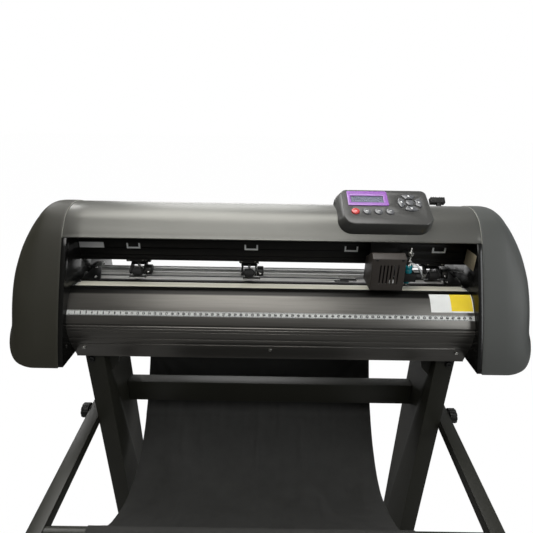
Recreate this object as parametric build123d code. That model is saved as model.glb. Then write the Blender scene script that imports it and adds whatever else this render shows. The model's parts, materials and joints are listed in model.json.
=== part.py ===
from build123d import *
import math
import os

# Roll-fed vinyl cutter on a floor stand with a cloth catcher, one STEP file per piece.
# Modelling frame: X along the machine (+X is the operator's right), Y from the operator
# towards the back, Z up, origin at the front bottom corner of the end covers' outline.
# save() moves every piece so that the origin lies on the floor under the stand's middle.

os.makedirs("parts", exist_ok=True)

# ---------------------------------------------------------------- shared dimensions
FLOOR = -740.0
STAND_Y = 105.0                   # middle of the stand

X_IN = 365.0                      # inner face of the end covers
PLATE_T = 8.0
X_PLATE = X_IN - PLATE_T          # inner face of the side plates
X_SPAN = X_PLATE - 0.1            # half length of everything between the plates
WALL = 3.0                        # moulded cover wall
HOOD_T = 2.2
HOOD_INSET = 1.2                  # hood set back from the outline

GRIT_Y, GRIT_Z = 136.0, 107.5     # feed shaft with grit drums
SHAFT_R, DRUM_R, DRUM_W = 5.0, 9.5, 30.0
DRUM_X = (-256.0, -38.0, 147.0, 309.0)
BIG_PULLEY_R, SMALL_PULLEY_R = 25.0, 8.0
FEED_PULLEY_X0, FEED_PULLEY_X1 = 418.5, 429.5
FEED_MOTOR_Z, FEED_MOTOR_HALF = 47.5, 28.0

DECK_Z = 116.0                    # platen top
BEAM_Y0, BEAM_Y1, BEAM_Z0, BEAM_Z1 = 130.0, 168.0, 151.0, 236.0

PINCH_X = {"left": DRUM_X[0], "mid": -43.0, "right": DRUM_X[-1]}
PIVOT_Y, PIVOT_Z, PIVOT_R = 164.0, 141.0, 2.5
ROLL_R, ROLL_W = 8.0, 16.0
ROLL_GAP = 0.15                   # pinch roller to drum
ROLL_Z = GRIT_Z + DRUM_R + ROLL_GAP + ROLL_R
LIFT_Y, LIFT_Z, LIFT_R = 178.0, 152.0, 4.0

BELT_Y, PULLEY_X, PULLEY_R = 120.0, 388.0, 6.2    # carriage belt

ROCKER_X0, ROCKER_X1 = 406.4, 426.6
ROCKER_Z, ROCKER_HALF, ROCKER_GAP = 50.0, 13.6, 0.6

LEG_X0, LEG_X1 = 311.0, 345.0
LEG_X = (LEG_X0 + LEG_X1) / 2
LEG_Y0, LEG_Y1 = 57.0, 172.0
LEG_TOP = -6.02
BOLT_XY = [(x, y) for x in (-LEG_X, LEG_X) for y in (80.0, 149.0)]    # stand to base pan
BOLT_HOLE_R = 4.25
ARM_Y, ARM_Z = 85.0, -172.0       # pivot of the catch frame
ARM_HOLE_R = 4.1

# Side outline of covers and hood (y, z): front bottom, over the top, back bottom.
PROFILE = [
    (0, 0), (9.1, 27.2), (19.6, 54.6), (31.4, 82.4), (44.7, 111.7), (60.9, 144.8),
    (76.6, 176.1), (92.8, 205.9), (105.1, 224.1), (121.8, 241.1), (142.0, 250.6),
    (163.0, 253.4), (184.0, 250.7), (206.0, 242.0), (230, 224), (246, 198), (255, 166),
    (258, 130), (259.5, 90), (260, 45), (260, 0)]
PROFILE_TOP = 253.4


# ---------------------------------------------------------------- solids
def box(x0, x1, y0, y1, z0, z1):
    centre = Pos((x0 + x1) / 2, (y0 + y1) / 2, (z0 + z1) / 2)
    return centre * Box(abs(x1 - x0), abs(y1 - y0), abs(z1 - z0))


def cyl_x(y, z, radius, x0, x1):
    return Pos((x0 + x1) / 2, y, z) * (Rot(0, 90, 0) * Cylinder(radius, abs(x1 - x0)))


def cyl_y(x, z, radius, y0, y1):
    return Pos(x, (y0 + y1) / 2, z) * (Rot(90, 0, 0) * Cylinder(radius, abs(y1 - y0)))


def cyl_z(x, y, radius, z0, z1):
    return Pos(x, y, (z0 + z1) / 2) * Cylinder(radius, abs(z1 - z0))


def polygon(corners):
    return Wire.make_polygon([Vector(*corner) for corner in corners], close=True)


def poly_x(points, x0, x1):
    """Prism along X from (y, z) points."""
    return Solid.extrude(Face(polygon([(x0, y, z) for y, z in points])), Vector(x1 - x0, 0, 0))


def poly_y(points, y0, y1):
    """Prism along Y from (x, z) points."""
    return Solid.extrude(Face(polygon([(x, y0, z) for x, z in points])), Vector(0, y1 - y0, 0))


def poly_z(points, z0, z1):
    """Prism along Z from (x, y) points."""
    return Solid.extrude(Face(polygon([(x, y, z0) for x, y in points])), Vector(0, 0, z1 - z0))


def mirror_x(shape):
    return shape.mirror(Plane.YZ)


def save(name, *shapes):
    """Write the solids of the shapes to one file, in the stand's frame."""
    shift = Location((0, -STAND_Y, -FLOOR))
    solids = [solid.moved(shift) for shape in shapes for solid in shape.solids()]
    piece = solids[0] if len(solids) == 1 else Compound(children=solids)
    piece.label = name
    export_step(piece, "parts/" + name + ".step")


# ---------------------------------------------------------------- plane outlines
def smooth(points, steps):
    """Catmull-Rom through an open list of points, with a number of steps per span."""
    curve = []
    for i in range(len(points) - 1):
        before, start, end = points[max(i - 1, 0)], points[i], points[i + 1]
        after = points[min(i + 2, len(points) - 1)]
        for k in range(steps):
            t = k / steps
            curve.append(tuple(
                0.5 * (2 * b + (c - a) * t + (2 * a - 5 * b + 4 * c - d) * t * t
                       + (-a + 3 * b - 3 * c + d) * t ** 3)
                for a, b, c, d in zip(before, start, end, after)))
    curve.append(tuple(map(float, points[-1])))
    return curve


def right_normal(start, end):
    dx, dy = end[0] - start[0], end[1] - start[1]
    length = math.hypot(dx, dy)
    return dy / length, -dx / length


def offset_line(points, distance, closed=False):
    """Mitred offset; a positive distance moves to the right of the direction of travel."""
    moved = []
    count = len(points)
    for i, point in enumerate(points):
        normals = []
        if i > 0 or closed:
            normals.append(right_normal(points[i - 1], point))
        if i < count - 1 or closed:
            normals.append(right_normal(point, points[(i + 1) % count]))
        nx, ny = normals[0]
        stretch = 1.0
        if len(normals) == 2:
            nx, ny = nx + normals[1][0], ny + normals[1][1]
            length = math.hypot(nx, ny)
            nx, ny = nx / length, ny / length
            stretch = 1.0 / (nx * normals[0][0] + ny * normals[0][1])
        moved.append((point[0] + nx * distance * stretch, point[1] + ny * distance * stretch))
    return moved


def nearest(points, target):
    """Index of the point closest to the target."""
    return min(range(len(points)), key=lambda i: math.dist(points[i], target))


def around(cx, cy, radius, degrees):
    angle = math.radians(degrees)
    return cx + radius * math.cos(angle), cy + radius * math.sin(angle)


def convex_hull(points):
    points = sorted(set(points))

    def half(sequence):
        chain = []
        for p in sequence:
            while len(chain) > 1:
                a, b = chain[-2:]
                if (b[0] - a[0]) * (p[1] - a[1]) - (b[1] - a[1]) * (p[0] - a[0]) > 0:
                    break
                chain.pop()
            chain.append(p)
        return chain[:-1]
    return half(points) + half(points[::-1])


def belt_loop(centre_a, radius_a, centre_b, radius_b, thickness):
    """Outer and inner outline of a belt round two pulleys, with running clearance."""
    def wrap(extra):
        points = []
        for (cx, cy), radius in ((centre_a, radius_a), (centre_b, radius_b)):
            for k in range(48):
                x, y = around(cx, cy, radius + extra, 360 * k / 48)
                points.append((round(x, 4), round(y, 4)))
        return convex_hull(points)
    clearance = 0.1
    return wrap(clearance + thickness), wrap(clearance)


OUTLINE = smooth(PROFILE[:-1], 2) + [PROFILE[-1]]


def inset_outline(distance):
    return offset_line(OUTLINE, distance, closed=True)


# ---------------------------------------------------------------- end covers
# Stations of the moulded end: x, drop of the top, inset of front and back, rise of the bottom
CAP = [
    (X_IN, 0, 0, 0), (388, 0, 0, 0), (398, 1, 0, 0), (405, 3, 0, 0), (410, 6, 0.2, 0),
    (415, 10, 0.5, 0.4), (420, 16, 1.0, 1.2), (425, 22, 1.7, 2.4), (430, 29, 2.7, 4),
    (435, 37, 4, 6), (440, 46, 6, 9), (445, 58, 9, 14), (450, 76, 14, 22), (454, 94, 21, 32),
    (457, 110, 30, 42), (459, 122, 40, 52), (460, 130, 50, 60)]
CAP_Y, CAP_Z = 135.0, 70.0        # point the sections shrink towards
CAP_HALF_Y = 130.0


def cap_section(points, x, drop, inset, rise):
    corners = []
    for y, z in points:
        if z > CAP_Z:
            new_z = z - drop * ((z - CAP_Z) / (PROFILE_TOP - CAP_Z)) ** 2.2
        else:
            new_z = z + rise * ((CAP_Z - z) / CAP_Z) ** 1.5
        corners.append((x, CAP_Y + (y - CAP_Y) * (1 - inset / CAP_HALF_Y), new_z))
    return polygon(corners)


def cap_solid(points, stations):
    return Solid.make_loft([cap_section(points, *station) for station in stations], True)


cavity = [(X_IN - 2, 0, 0, 0)] + [(x - WALL, *rest) for x, *rest in CAP[1:]]
cover = cap_solid(OUTLINE, CAP) - cap_solid(inset_outline(WALL), cavity)
rocker_opening = box(ROCKER_X0 - ROCKER_GAP, ROCKER_X1 + ROCKER_GAP, 250, 264,
                     ROCKER_Z - ROCKER_HALF - ROCKER_GAP, ROCKER_Z + ROCKER_HALF + ROCKER_GAP)
save("end_cover_right", cover - rocker_opening)
save("end_cover_left", mirror_x(cover))

rocker = poly_x([(-9, -ROCKER_HALF), (0.6, -ROCKER_HALF), (2.4, -ROCKER_HALF), (-0.4, 0),
                 (2.4, ROCKER_HALF), (0.6, ROCKER_HALF), (-9, ROCKER_HALF), (-12, 0)],
                ROCKER_X0, ROCKER_X1)
save("power_switch", Pos(0, 258.0, ROCKER_Z) * (Rot(-6, 0, 0) * rocker))

# ---------------------------------------------------------------- side plates and hood
hood_first = nearest(OUTLINE, (92.8, 205.9))
hood_last = nearest(OUTLINE, (257.0, 150.0))


def hood_band(inset):
    """The part of the inset outline that the hood covers."""
    return inset_outline(inset)[hood_first:hood_last + 1]


BEARING_R = 14.0
through_plate = (X_PLATE - 1, X_IN + 1)
plate = poly_x(inset_outline(1.0), X_PLATE, X_IN)
# The hood lies over the plates.
plate = plate - poly_x(hood_band(-2.0) + hood_band(HOOD_INSET + HOOD_T + 0.05)[::-1],
                       *through_plate)
plate = plate - cyl_x(GRIT_Y, GRIT_Z, BEARING_R, *through_plate)
plate = plate - cyl_x(LIFT_Y, LIFT_Z, LIFT_R + 0.06, *through_plate)
plate = plate - box(*through_plate, 109, 131, 212, 228)       # belt window
idler_tab = box(X_IN, X_IN + 44, 104, 134, 190, 204) - cyl_z(PULLEY_X, BELT_Y, 2.56, 195, 210)
save("side_plates", plate, mirror_x(plate + idler_tab))

hood_out, hood_in = hood_band(HOOD_INSET), hood_band(HOOD_INSET + HOOD_T)
front_y, front_z = hood_out[0]
back_y, back_z = hood_out[-1]
BACK_LIP, FRONT_LIP, FRONT_LIP_T = 9.0, 10.5, 2.0
lipped = hood_out + [
    (back_y - BACK_LIP, back_z), (back_y - BACK_LIP, back_z + HOOD_T),
    (hood_in[-1][0], back_z + HOOD_T)]
lipped += hood_in[::-1][1:-1] + [
    (hood_in[0][0] + 0.9, front_z + FRONT_LIP_T),
    (front_y + FRONT_LIP, front_z + FRONT_LIP_T), (front_y + FRONT_LIP, front_z)]
hood = poly_x(lipped, -X_SPAN, X_SPAN)
hood = hood + poly_x(hood_out + hood_in[::-1], -X_IN + 0.1, X_IN - 0.1)
hood = hood - box(341, 353, 222, 262, 154.6, 227)             # slot for the lift lever
save("hood", hood)

# ---------------------------------------------------------------- beam and rail
RAIL_Y0, RAIL_Z0, RAIL_Z1 = 121.0, 198.0, 208.0
STRIP_HALF_X = 350                # half length of the rail and the cutting strip
past_span = (-X_SPAN - 1, X_SPAN + 1)

beam = box(-X_SPAN, X_SPAN, BEAM_Y0, BEAM_Y1, BEAM_Z0, BEAM_Z1)
beam = beam - box(*past_span, BEAM_Y0 + 5, BEAM_Y1 - 5, BEAM_Z0 + 10, BEAM_Z1 - 5)
beam = beam - box(*past_span, 145, 155, BEAM_Z0 - 1, 157)     # groove in the underside
for groove_z, groove in ((175.0, 2.0), (161.0, 1.6), (154.0, 1.6), (190.0, 1.6)):
    beam = beam - box(*past_span, BEAM_Y0 - 1, BEAM_Y0 + groove, groove_z, groove_z + groove)
save("gantry_beam", beam)

rail = poly_x([(RAIL_Y0, RAIL_Z0), (RAIL_Y0, RAIL_Z0 + 3), (RAIL_Y0 + 2, RAIL_Z0 + 4),
               (RAIL_Y0 + 2, RAIL_Z1 - 4), (RAIL_Y0, RAIL_Z1 - 3), (RAIL_Y0, RAIL_Z1),
               (BEAM_Y0, RAIL_Z1), (BEAM_Y0, RAIL_Z0)], -STRIP_HALF_X, STRIP_HALF_X)
save("guide_rail", rail)


def position_mark(x):
    """U-shaped mark on the beam's front face above a drum."""
    half, line, top = 12.5, 3, 184.5
    return poly_y([(x - half, top), (x - half, 174), (x + half, 174), (x + half, top),
                   (x + half - line, top), (x + half - line, 177.2),
                   (x - half + line, 177.2), (x - half + line, top)], BEAM_Y0 - 0.6, BEAM_Y0)


save("position_marks", *[position_mark(x) for x in DRUM_X])

# ---------------------------------------------------------------- platen
DECK = [      # section (y, z): grooved top from front to back, rear lip, underside
    (84.8, DECK_Z), (103.6, DECK_Z), (103.6, 110), (112, 110), (112, DECK_Z),
    (135.3, DECK_Z), (135.3, 114.6), (136.7, 114.6), (136.7, DECK_Z),
    (159.3, DECK_Z), (159.3, 115.2), (160.3, 115.2), (160.3, DECK_Z),
    (179.3, DECK_Z), (179.3, 115.2), (180.3, 115.2), (180.3, DECK_Z), (184.5, DECK_Z),
    (186.8, 115.4), (188.2, 113.8), (188.5, 111.6), (188.5, 104), (186.1, 104), (186, 110.6),
    (184.5, 113), (115, 113), (115, 107), (100.6, 107), (100.6, 113), (84.8, 113)]
deck = poly_x(DECK, -X_SPAN, X_SPAN)
for x in DRUM_X:
    deck = deck - box(x - DRUM_W / 2 - 1.5, x + DRUM_W / 2 + 1.5, GRIT_Y - 11, GRIT_Y + 11,
                      105, 118)
SLOT_X0, SLOT_X1, SLOT_Y, SLOT_R = 123, 144, 125.2, 2    # round-ended slot
slot = box(SLOT_X0, SLOT_X1, SLOT_Y - SLOT_R, SLOT_Y + SLOT_R, 105, 118)
for x in (SLOT_X0, SLOT_X1):
    slot = slot + cyl_z(x, SLOT_Y, SLOT_R, 105, 118)
save("platen_deck", deck - slot)
save("cutting_strip", box(-STRIP_HALF_X, STRIP_HALF_X, 85.2, 103.2, DECK_Z, DECK_Z + 2.4))

# ---------------------------------------------------------------- front apron
# Sections (y, z), from the platen forwards and down
APRON_UPPER = smooth([(84.2, 117.2), (75.5, 115.6), (66, 109.5), (55.5, 98.0), (45, 84),
                      (39.8, 75), (36.6, 67.6)], 3)
APRON_LOWER = [(37.9, 66.6), (37.9, 64.4), (35.2, 63.4), (34.6, 57), (34.4, 46), (35.8, 32),
               (43.2, 12), (50.0, -6.0), (50.0, -9.8)]
APRON_LOWER_IN = [(40.6, 67.4), (40.6, 63.4), (38.0, 62.2), (37.2, 46), (38.6, 32.8),
                  (45.9, 12.9), (52.4, -4.0), (52.4, -9.8)]
apron_in = offset_line(APRON_UPPER, -2.8)[:-1] + APRON_LOWER_IN
save("front_apron", poly_x(APRON_UPPER + APRON_LOWER + apron_in[::-1], -X_SPAN, X_SPAN))

# The strip follows the face; one more point at each end gives true mitres.
ruler_first = nearest(APRON_UPPER, (48.6, 88.6))
ruler_last = nearest(APRON_UPPER, (42.7, 80.0))
ruler_path = APRON_UPPER[ruler_first - 1:ruler_last + 2]
ruler_under = offset_line(ruler_path, 0.03)[1:-1]
ruler_top = offset_line(ruler_path, 0.45)[1:-1]
save("ruler_strip", poly_x(ruler_under + ruler_top[::-1], -356, 356))

# ---------------------------------------------------------------- base pan
PAN_FLOOR = -3.6                  # upper face of the pan's floor
pan = poly_x([(52.6, -6), (258, -6), (258, 84), (255.6, 84), (255.6, PAN_FLOOR),
              (52.6, PAN_FLOOR)], -X_SPAN, X_SPAN)
for x in range(-260, 261, 20):                                # slots in the back wall
    pan = pan - box(x - 6, x + 6, 254, 260, 50, 54)
for x, y in BOLT_XY:
    pan = pan - cyl_z(x, y, BOLT_HOLE_R, -8, 0)
save("base_pan", pan)

# ---------------------------------------------------------------- boards
BOARD_TOP = 6.0
BLOCKS = [    # parts on the board: centre x, centre y, length, width, height
    (-200, 180, 30, 20, 12), (-150, 200, 24, 24, 8), (-100, 170, 16, 16, 20),
    (-60, 200, 40, 30, 14), (-190, 225, 60, 14, 11), (0, 190, 30, 12, 16)]
board = box(-230, 40, 150, 245, 4.4, BOARD_TOP)
for x in (-222, 32):
    for y in (158, 237):
        board = board + cyl_z(x, y, 3.0, PAN_FLOOR, 4.4)
for x, y, length, width, height in BLOCKS:
    board = board + box(x - length / 2, x + length / 2, y - width / 2, y + width / 2,
                        BOARD_TOP, BOARD_TOP + height)
save("main_board", board)

supply = box(90, 289, 150, 248, PAN_FLOOR, 40)
for k in range(9):                                            # slots in the front face
    supply = supply - box(110 + k * 18, 118 + k * 18, 149, 150.8, 8, 32)
save("power_supply", supply)

# ---------------------------------------------------------------- motors, belts, pulleys
carriage_motor = box(X_IN + 0.2, X_IN + 42.2, 108, 150, 148, 190)
carriage_motor = carriage_motor - cyl_z(PULLEY_X, BELT_Y, 2.7, 180, 192)
feed_motor = box(X_IN + 0.2, X_IN + 48.2, GRIT_Y - FEED_MOTOR_HALF, GRIT_Y + FEED_MOTOR_HALF,
                 FEED_MOTOR_Z - FEED_MOTOR_HALF, FEED_MOTOR_Z + FEED_MOTOR_HALF)
feed_motor = feed_motor - cyl_x(GRIT_Y, FEED_MOTOR_Z, 3.3, 400, 420)
save("stepper_motors", carriage_motor, feed_motor)

loop_out, loop_in = belt_loop((-PULLEY_X, BELT_Y), PULLEY_R, (PULLEY_X, BELT_Y), PULLEY_R, 1.0)
carriage_belt = poly_z(loop_out, 216.6, 222.4) - poly_z(loop_in, 210, 230)
loop_out, loop_in = belt_loop((GRIT_Y, GRIT_Z), BIG_PULLEY_R,
                              (GRIT_Y, FEED_MOTOR_Z), SMALL_PULLEY_R, 1.4)
feed_belt = poly_x(loop_out, 419, 429) - poly_x(loop_in, 410, 440)
save("drive_belts", carriage_belt, feed_belt)


def carriage_pulley(x, shaft_bottom):
    """Flanged pulley with its shaft below."""
    pulley = cyl_z(x, BELT_Y, PULLEY_R, 216.0, 223.0)
    pulley = pulley + cyl_z(x, BELT_Y, 8.0, 215.0, 216.0) + cyl_z(x, BELT_Y, 8.0, 223.0, 224.0)
    return pulley + cyl_z(x, BELT_Y, 2.5, shaft_bottom, 215.5)


save("x_drive_pulley", carriage_pulley(PULLEY_X, 181.5))
save("x_idler_pulley", carriage_pulley(-PULLEY_X, 196.5))

# ---------------------------------------------------------------- grit shaft, bearings
grit = cyl_x(GRIT_Y, GRIT_Z, SHAFT_R, -378, 430)
for x in DRUM_X:
    grit = grit + cyl_x(GRIT_Y, GRIT_Z, DRUM_R, x - DRUM_W / 2, x + DRUM_W / 2)
grit = grit + cyl_x(GRIT_Y, GRIT_Z, BIG_PULLEY_R, FEED_PULLEY_X0, FEED_PULLEY_X1)
for k in range(6):                                            # ring of holes in the pulley
    grit = grit - cyl_x(*around(GRIT_Y, GRIT_Z, 15.5, 60 * k), 4.0, 417, 431)
save("grit_shaft", grit)
save("y_motor_pulley",
     cyl_x(GRIT_Y, FEED_MOTOR_Z, SMALL_PULLEY_R, FEED_PULLEY_X0, FEED_PULLEY_X1)
     + cyl_x(GRIT_Y, FEED_MOTOR_Z, 3.2, 402, FEED_PULLEY_X0))

bearing = cyl_x(GRIT_Y, GRIT_Z, BEARING_R - 0.02, X_PLATE, X_IN)
bearing = bearing - cyl_x(GRIT_Y, GRIT_Z, SHAFT_R + 0.05, *through_plate)
block = box(45, 57, 128, 144, 98, 112.9) - cyl_x(GRIT_Y, GRIT_Z, SHAFT_R + 0.05, 40, 60)
save("shaft_bearings", bearing, mirror_x(bearing), block, block.moved(Location((-200, 0, 0))))

# ---------------------------------------------------------------- pinch rollers
# Cheeks and cross web, sections (y, z)
BRACKET_CHEEK = [(154, 146.4), (157, 135.5), (164, 133.5), (171, 135.5), (172.5, 146.4)]
ARM_CHEEK = [(168, 144), (171, 141), (168.5, 136.2), (160, 135.4), (141, 121.8),
             (133.2, 120.6), (130.4, 124.4), (132.4, 129.2), (152, 141.8), (160, 145.2)]
ARM_WEB = [(150, 133.2), (154, 136.2), (158, 142.0), (154, 141.4), (149, 137.9)]
AXLE_R = 2.0


def add_cheeks(shape, section, x, near, far):
    """Add a pair of cheeks at equal distances on both sides of x."""
    for side in (-1, 1):
        shape = shape + poly_x(section, *sorted((x + side * near, x + side * far)))
    return shape


def pinch_bracket(x):
    bracket = box(x - 18, x + 18, 133, 172.5, 146.4, 150.7)
    bracket = bracket + box(x - 14, x + 14, 145.3, 154.7, 150.7, 156.4)
    bracket = add_cheeks(bracket, BRACKET_CHEEK, x, 15.2, 18.0)
    return bracket - cyl_x(PIVOT_Y, PIVOT_Z, PIVOT_R + 0.06, x - 20, x + 20)


def pinch_arm(x):
    arm = cyl_x(PIVOT_Y, PIVOT_Z, PIVOT_R, x - 19.5, x + 19.5)
    arm = add_cheeks(arm, ARM_CHEEK, x, 11.4, 14.4)
    arm = arm + poly_x(ARM_WEB, x - 11.5, x + 11.5)
    return arm - cyl_x(GRIT_Y, ROLL_Z, AXLE_R + 0.05, x - 20, x + 20)


def pinch_roller(x):
    roller = cyl_x(GRIT_Y, ROLL_Z, ROLL_R, x - ROLL_W / 2, x + ROLL_W / 2)
    roller = roller + cyl_x(GRIT_Y, ROLL_Z, AXLE_R, x - 15.6, x + 15.6)
    return roller + cyl_x(GRIT_Y, ROLL_Z, 4.0, x - 10.6, x + 10.6)


for place, x in PINCH_X.items():
    save("pinch_bracket_" + place, pinch_bracket(x))
    save("pinch_arm_" + place, pinch_arm(x))
    save("pinch_roller_" + place, pinch_roller(x))

save("lift_shaft", cyl_x(LIFT_Y, LIFT_Z, LIFT_R, -362, 362))

# Lever modelled along +Y, then turned up about the lift shaft
lever_place = Pos(0, LIFT_Y, LIFT_Z) * Rot(math.degrees(math.atan2(89.0, 84.0)), 0, 0)
lever = box(343, 351, 9.2, 116, -4, 4) + cyl_x(0, 0, 9.5, 343, 351)
lever = lever - cyl_x(0, 0, LIFT_R + 0.02, 342, 352)
grip = Pos(345, 122, 0) * Box(32, 15, 11)
grip = fillet(grip.edges(), 3.5)
save("lift_lever", lever_place * lever + lever_place * grip)

# ---------------------------------------------------------------- carriage
CAR_X0, CAR_X1 = 173.0, 231.0
CAR_Y0, CAR_Y1 = 70.0, 121.0
CAR_Z0 = 124.5
CAR_WALL = 2

cover = poly_x([(CAR_Y0, CAR_Z0), (CAR_Y0, 184), (81, 190.5), (84, 190.5), (CAR_Y1, 169.2),
                (CAR_Y1, CAR_Z0)], CAR_X0, CAR_X1)
cover = cover - poly_x([(CAR_Y0 + CAR_WALL, CAR_Z0 - 1), (CAR_Y0 + CAR_WALL, 183),
                        (81.6, 188.5), (83.5, 188.5), (CAR_Y1 + 1, 166.3),
                        (CAR_Y1 + 1, CAR_Z0 - 1)], CAR_X0 + CAR_WALL, CAR_X1 - CAR_WALL)
cover = cover - box(177.4, 226.6, 109.9, 122, 160, 200)       # clears the truck plate
cover = cover - box(228, 232, 109.9, 122, 126.4, 131.6)       # clears the lower tool bracket
for k in range(6):                                            # upright slots in the front
    x = 188.3 + k * 6.1
    cover = cover - box(x - 1.3, x + 1.3, CAR_Y0 - 1, 73, 136.4, 172.6)
save("carriage_cover", cover)

TRUCK_X0, TRUCK_X1 = 178, 226
PLATE_Y0, PLATE_Y1 = 110.4, 115.4
POST_X, POST_Y, POST_R = 239, 106.2, 2.0                      # post the tool clamp slides on
TRUCK = [     # section (y, z) round the rail
    (109.8, 193), (129.2, 193), (129.2, 197.6), (120.6, 197.6), (120.6, 208.4),
    (129.2, 208.4), (129.2, 213.0), (112.0, 213.0), (112.0, 222.6), (109.8, 222.6)]
truck = poly_x(TRUCK, TRUCK_X0, TRUCK_X1)
truck = truck + box(TRUCK_X0, TRUCK_X1, PLATE_Y0, PLATE_Y1, 127, 193)
truck = truck + box(TRUCK_X0, 208, 84, PLATE_Y0, 132, 136)    # shelf under the solenoid
truck = truck + cyl_z(193, 96, 12.0, 136, 168)                # lift solenoid body
for z0, z1 in ((127, 131), (180.5, 186)):
    truck = truck + box(TRUCK_X1, 246, PLATE_Y0, PLATE_Y1, z0, z1)
for z0, z1 in ((180.5, 186), (127, 131)):
    truck = truck + box(231.8, 246, 102, PLATE_Y0, z0, z1)
truck = truck + cyl_z(POST_X, POST_Y, POST_R, 131, 180.5)
save("carriage_block", truck)

# ---------------------------------------------------------------- tool
BLADE_X, BLADE_Y = 244.0, 92.0
HOLDER_R = 5.0
KNOB_Z, KNOB_SCREW_R = 143, 2.0

clamp = box(233.4, 256.4, 83, 100.6, 136, 150)
clamp = clamp + box(233.4, 245.0, 100.6, 109.6, 138, 176)
clamp = clamp - cyl_z(POST_X, POST_Y, POST_R + 0.06, 130, 180)
clamp = clamp - cyl_z(BLADE_X, BLADE_Y, HOLDER_R + 0.02, 130, 155)
clamp = clamp - box(249, 258, BLADE_Y - 0.8, BLADE_Y + 0.8, 134, 152)    # clamping slit
clamp = clamp - cyl_x(BLADE_Y, KNOB_Z, KNOB_SCREW_R + 0.06, 251, 258)
save("tool_clamp", clamp)

holder = cyl_z(BLADE_X, BLADE_Y, HOLDER_R, 129, 152)
for radius, z0, z1 in ((6.6, 150.6, 164), (4.0, 164, 168), (1.8, 168, 197.5)):
    holder = holder + cyl_z(BLADE_X, BLADE_Y, radius, z0, z1)
hexagon = [around(BLADE_X, BLADE_Y, 5.2, 60 * k) for k in range(6)]
holder = holder + poly_z(hexagon, 168, 174) + poly_z(hexagon, 183.5, 189.5)
holder = holder - cyl_z(BLADE_X, BLADE_Y, 1.3, 128, 146)
save("blade_holder", holder)

tip = cyl_z(BLADE_X, BLADE_Y, 1.25, 124.6, 144)
tip = tip - poly_x([(BLADE_Y - 2, 124), (BLADE_Y - 2, 127.5), (BLADE_Y + 1.3, 124)],
                   BLADE_X - 2, BLADE_X + 2)
save("blade_tip", tip)
save("clamp_knob", cyl_x(BLADE_Y, KNOB_Z, 6.5, 258.4, 268)
     + cyl_x(BLADE_Y, KNOB_Z, KNOB_SCREW_R, 251.5, 258.4))

# ---------------------------------------------------------------- control pod
# Panel axes: u to the right, w to the back, n out of the panel; top face at n = 0.
POD_X = 200.0
POD = Pos(POD_X, 127.0, 258.9) * Rot(29.1, 0, 0)
POD_U0, POD_U1, POD_W0, POD_W1 = -75.5, 79.0, -40.0, 46.5
POD_H = 40.0                      # depth of the skirt before it is cut to the hood

# Levels: n, growth left, right, front, back, front corner radius, back corner radius
POD_OUTER = [
    (0, -1.2, -1.2, -1.2, -1.2, 19, 9), (-1.0, 0, 0, 0, 0, 20, 10),
    (-3.2, 1.6, 0.8, 0.8, 0.6, 21, 10.5), (-12, 8, 2.4, 1.8, 1.6, 24, 13),
    (-20, 10.5, 3.2, 2.4, 2.2, 26, 14), (-POD_H, 11, 3.5, 2.6, 2.4, 26, 14)]
POD_INNER = [
    (-2.6, -4.2, -4.2, -4.2, -4.2, 16, 7), (-5, -1.6, -2.6, -2.4, -2.4, 18, 8),
    (-12, 4.9, -0.8, -1.2, -1.4, 21, 10), (-20, 7.4, 0.2, -0.4, -0.6, 23, 11),
    (-POD_H - 1, 8, 0.6, -0.3, -0.5, 23, 11)]

BEZEL = (-65.7, 6.6, 4.4, 41.3)   # u0, u1, w0, w1
LCD = (-59.6, -1.4, 12.0, 29.2)
ROUND_KEYS = {"start_key": -54.7, "menu_key": -34.4, "test_key": -14.2, "pause_key": 6.0}
ROW_W = -10.2                     # w of the row of round keys
NAV = (44.4, 12.8)                # centre of the arrow keys
ARROW_KEYS = {"right_key": 0, "up_key": 90, "left_key": 180, "down_key": 270}
PANEL_CUT = (-4, 1)               # n range of cuts through the panel
KEY_CAP = (-3.4, 1.8)
KEY_FLANGE = (-4.2, -2.75)
ROUND_HOLE_R, ROUND_KEY_R = 7.5, 7.1


def rounded_outline(u0, u1, w0, w1, r_front, r_back):
    points = []
    for u, w, radius, start in ((u1 - r_back, w1 - r_back, r_back, 0),
                                (u0 + r_back, w1 - r_back, r_back, 90),
                                (u0 + r_front, w0 + r_front, r_front, 180),
                                (u1 - r_front, w0 + r_front, r_front, 270)):
        points += [around(u, w, radius, start + 90 * k / 8) for k in range(9)]
    return points


def pod_loft(levels):
    wires = []
    for n, left, right, front, back, r_front, r_back in levels:
        outline = rounded_outline(POD_U0 - left, POD_U1 + right, POD_W0 - front,
                                  POD_W1 + back, r_front, r_back)
        wires.append(polygon([(u, w, n) for u, w in outline]))
    return Solid.make_loft(wires, True)


def inset_box(frame, inset, n0, n1):
    u0, u1, w0, w1 = frame
    return box(u0 + inset, u1 - inset, w0 + inset, w1 - inset, n0, n1)


def arc_key(middle, half, r_in, r_out, n0, n1):
    """Ring sector round NAV; middle and half width in degrees."""
    points = [around(*NAV, r_out, middle - half + 2 * half * k / 10) for k in range(11)]
    points += [around(*NAV, r_in, middle + half - 2 * half * k / 10) for k in range(11)]
    return poly_z(points, n0, n1)


def round_key(u, w, flange_r):
    return cyl_z(u, w, ROUND_KEY_R, *KEY_CAP) + cyl_z(u, w, flange_r, *KEY_FLANGE)


pod = pod_loft(POD_OUTER) - pod_loft(POD_INNER)
pod = pod - inset_box(BEZEL, 3, *PANEL_CUT)
for u, w in [(u, ROW_W) for u in ROUND_KEYS.values()] + [NAV]:
    pod = pod - cyl_z(u, w, ROUND_HOLE_R, *PANEL_CUT)
for middle in ARROW_KEYS.values():
    pod = pod - arc_key(middle, 37, 9.9, 21.6, *PANEL_CUT)
pod = (POD * pod) - poly_x(inset_outline(1.15), POD_X - 120, POD_X + 120)
save("pod_housing", max(pod.solids(), key=lambda solid: solid.volume))

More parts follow.
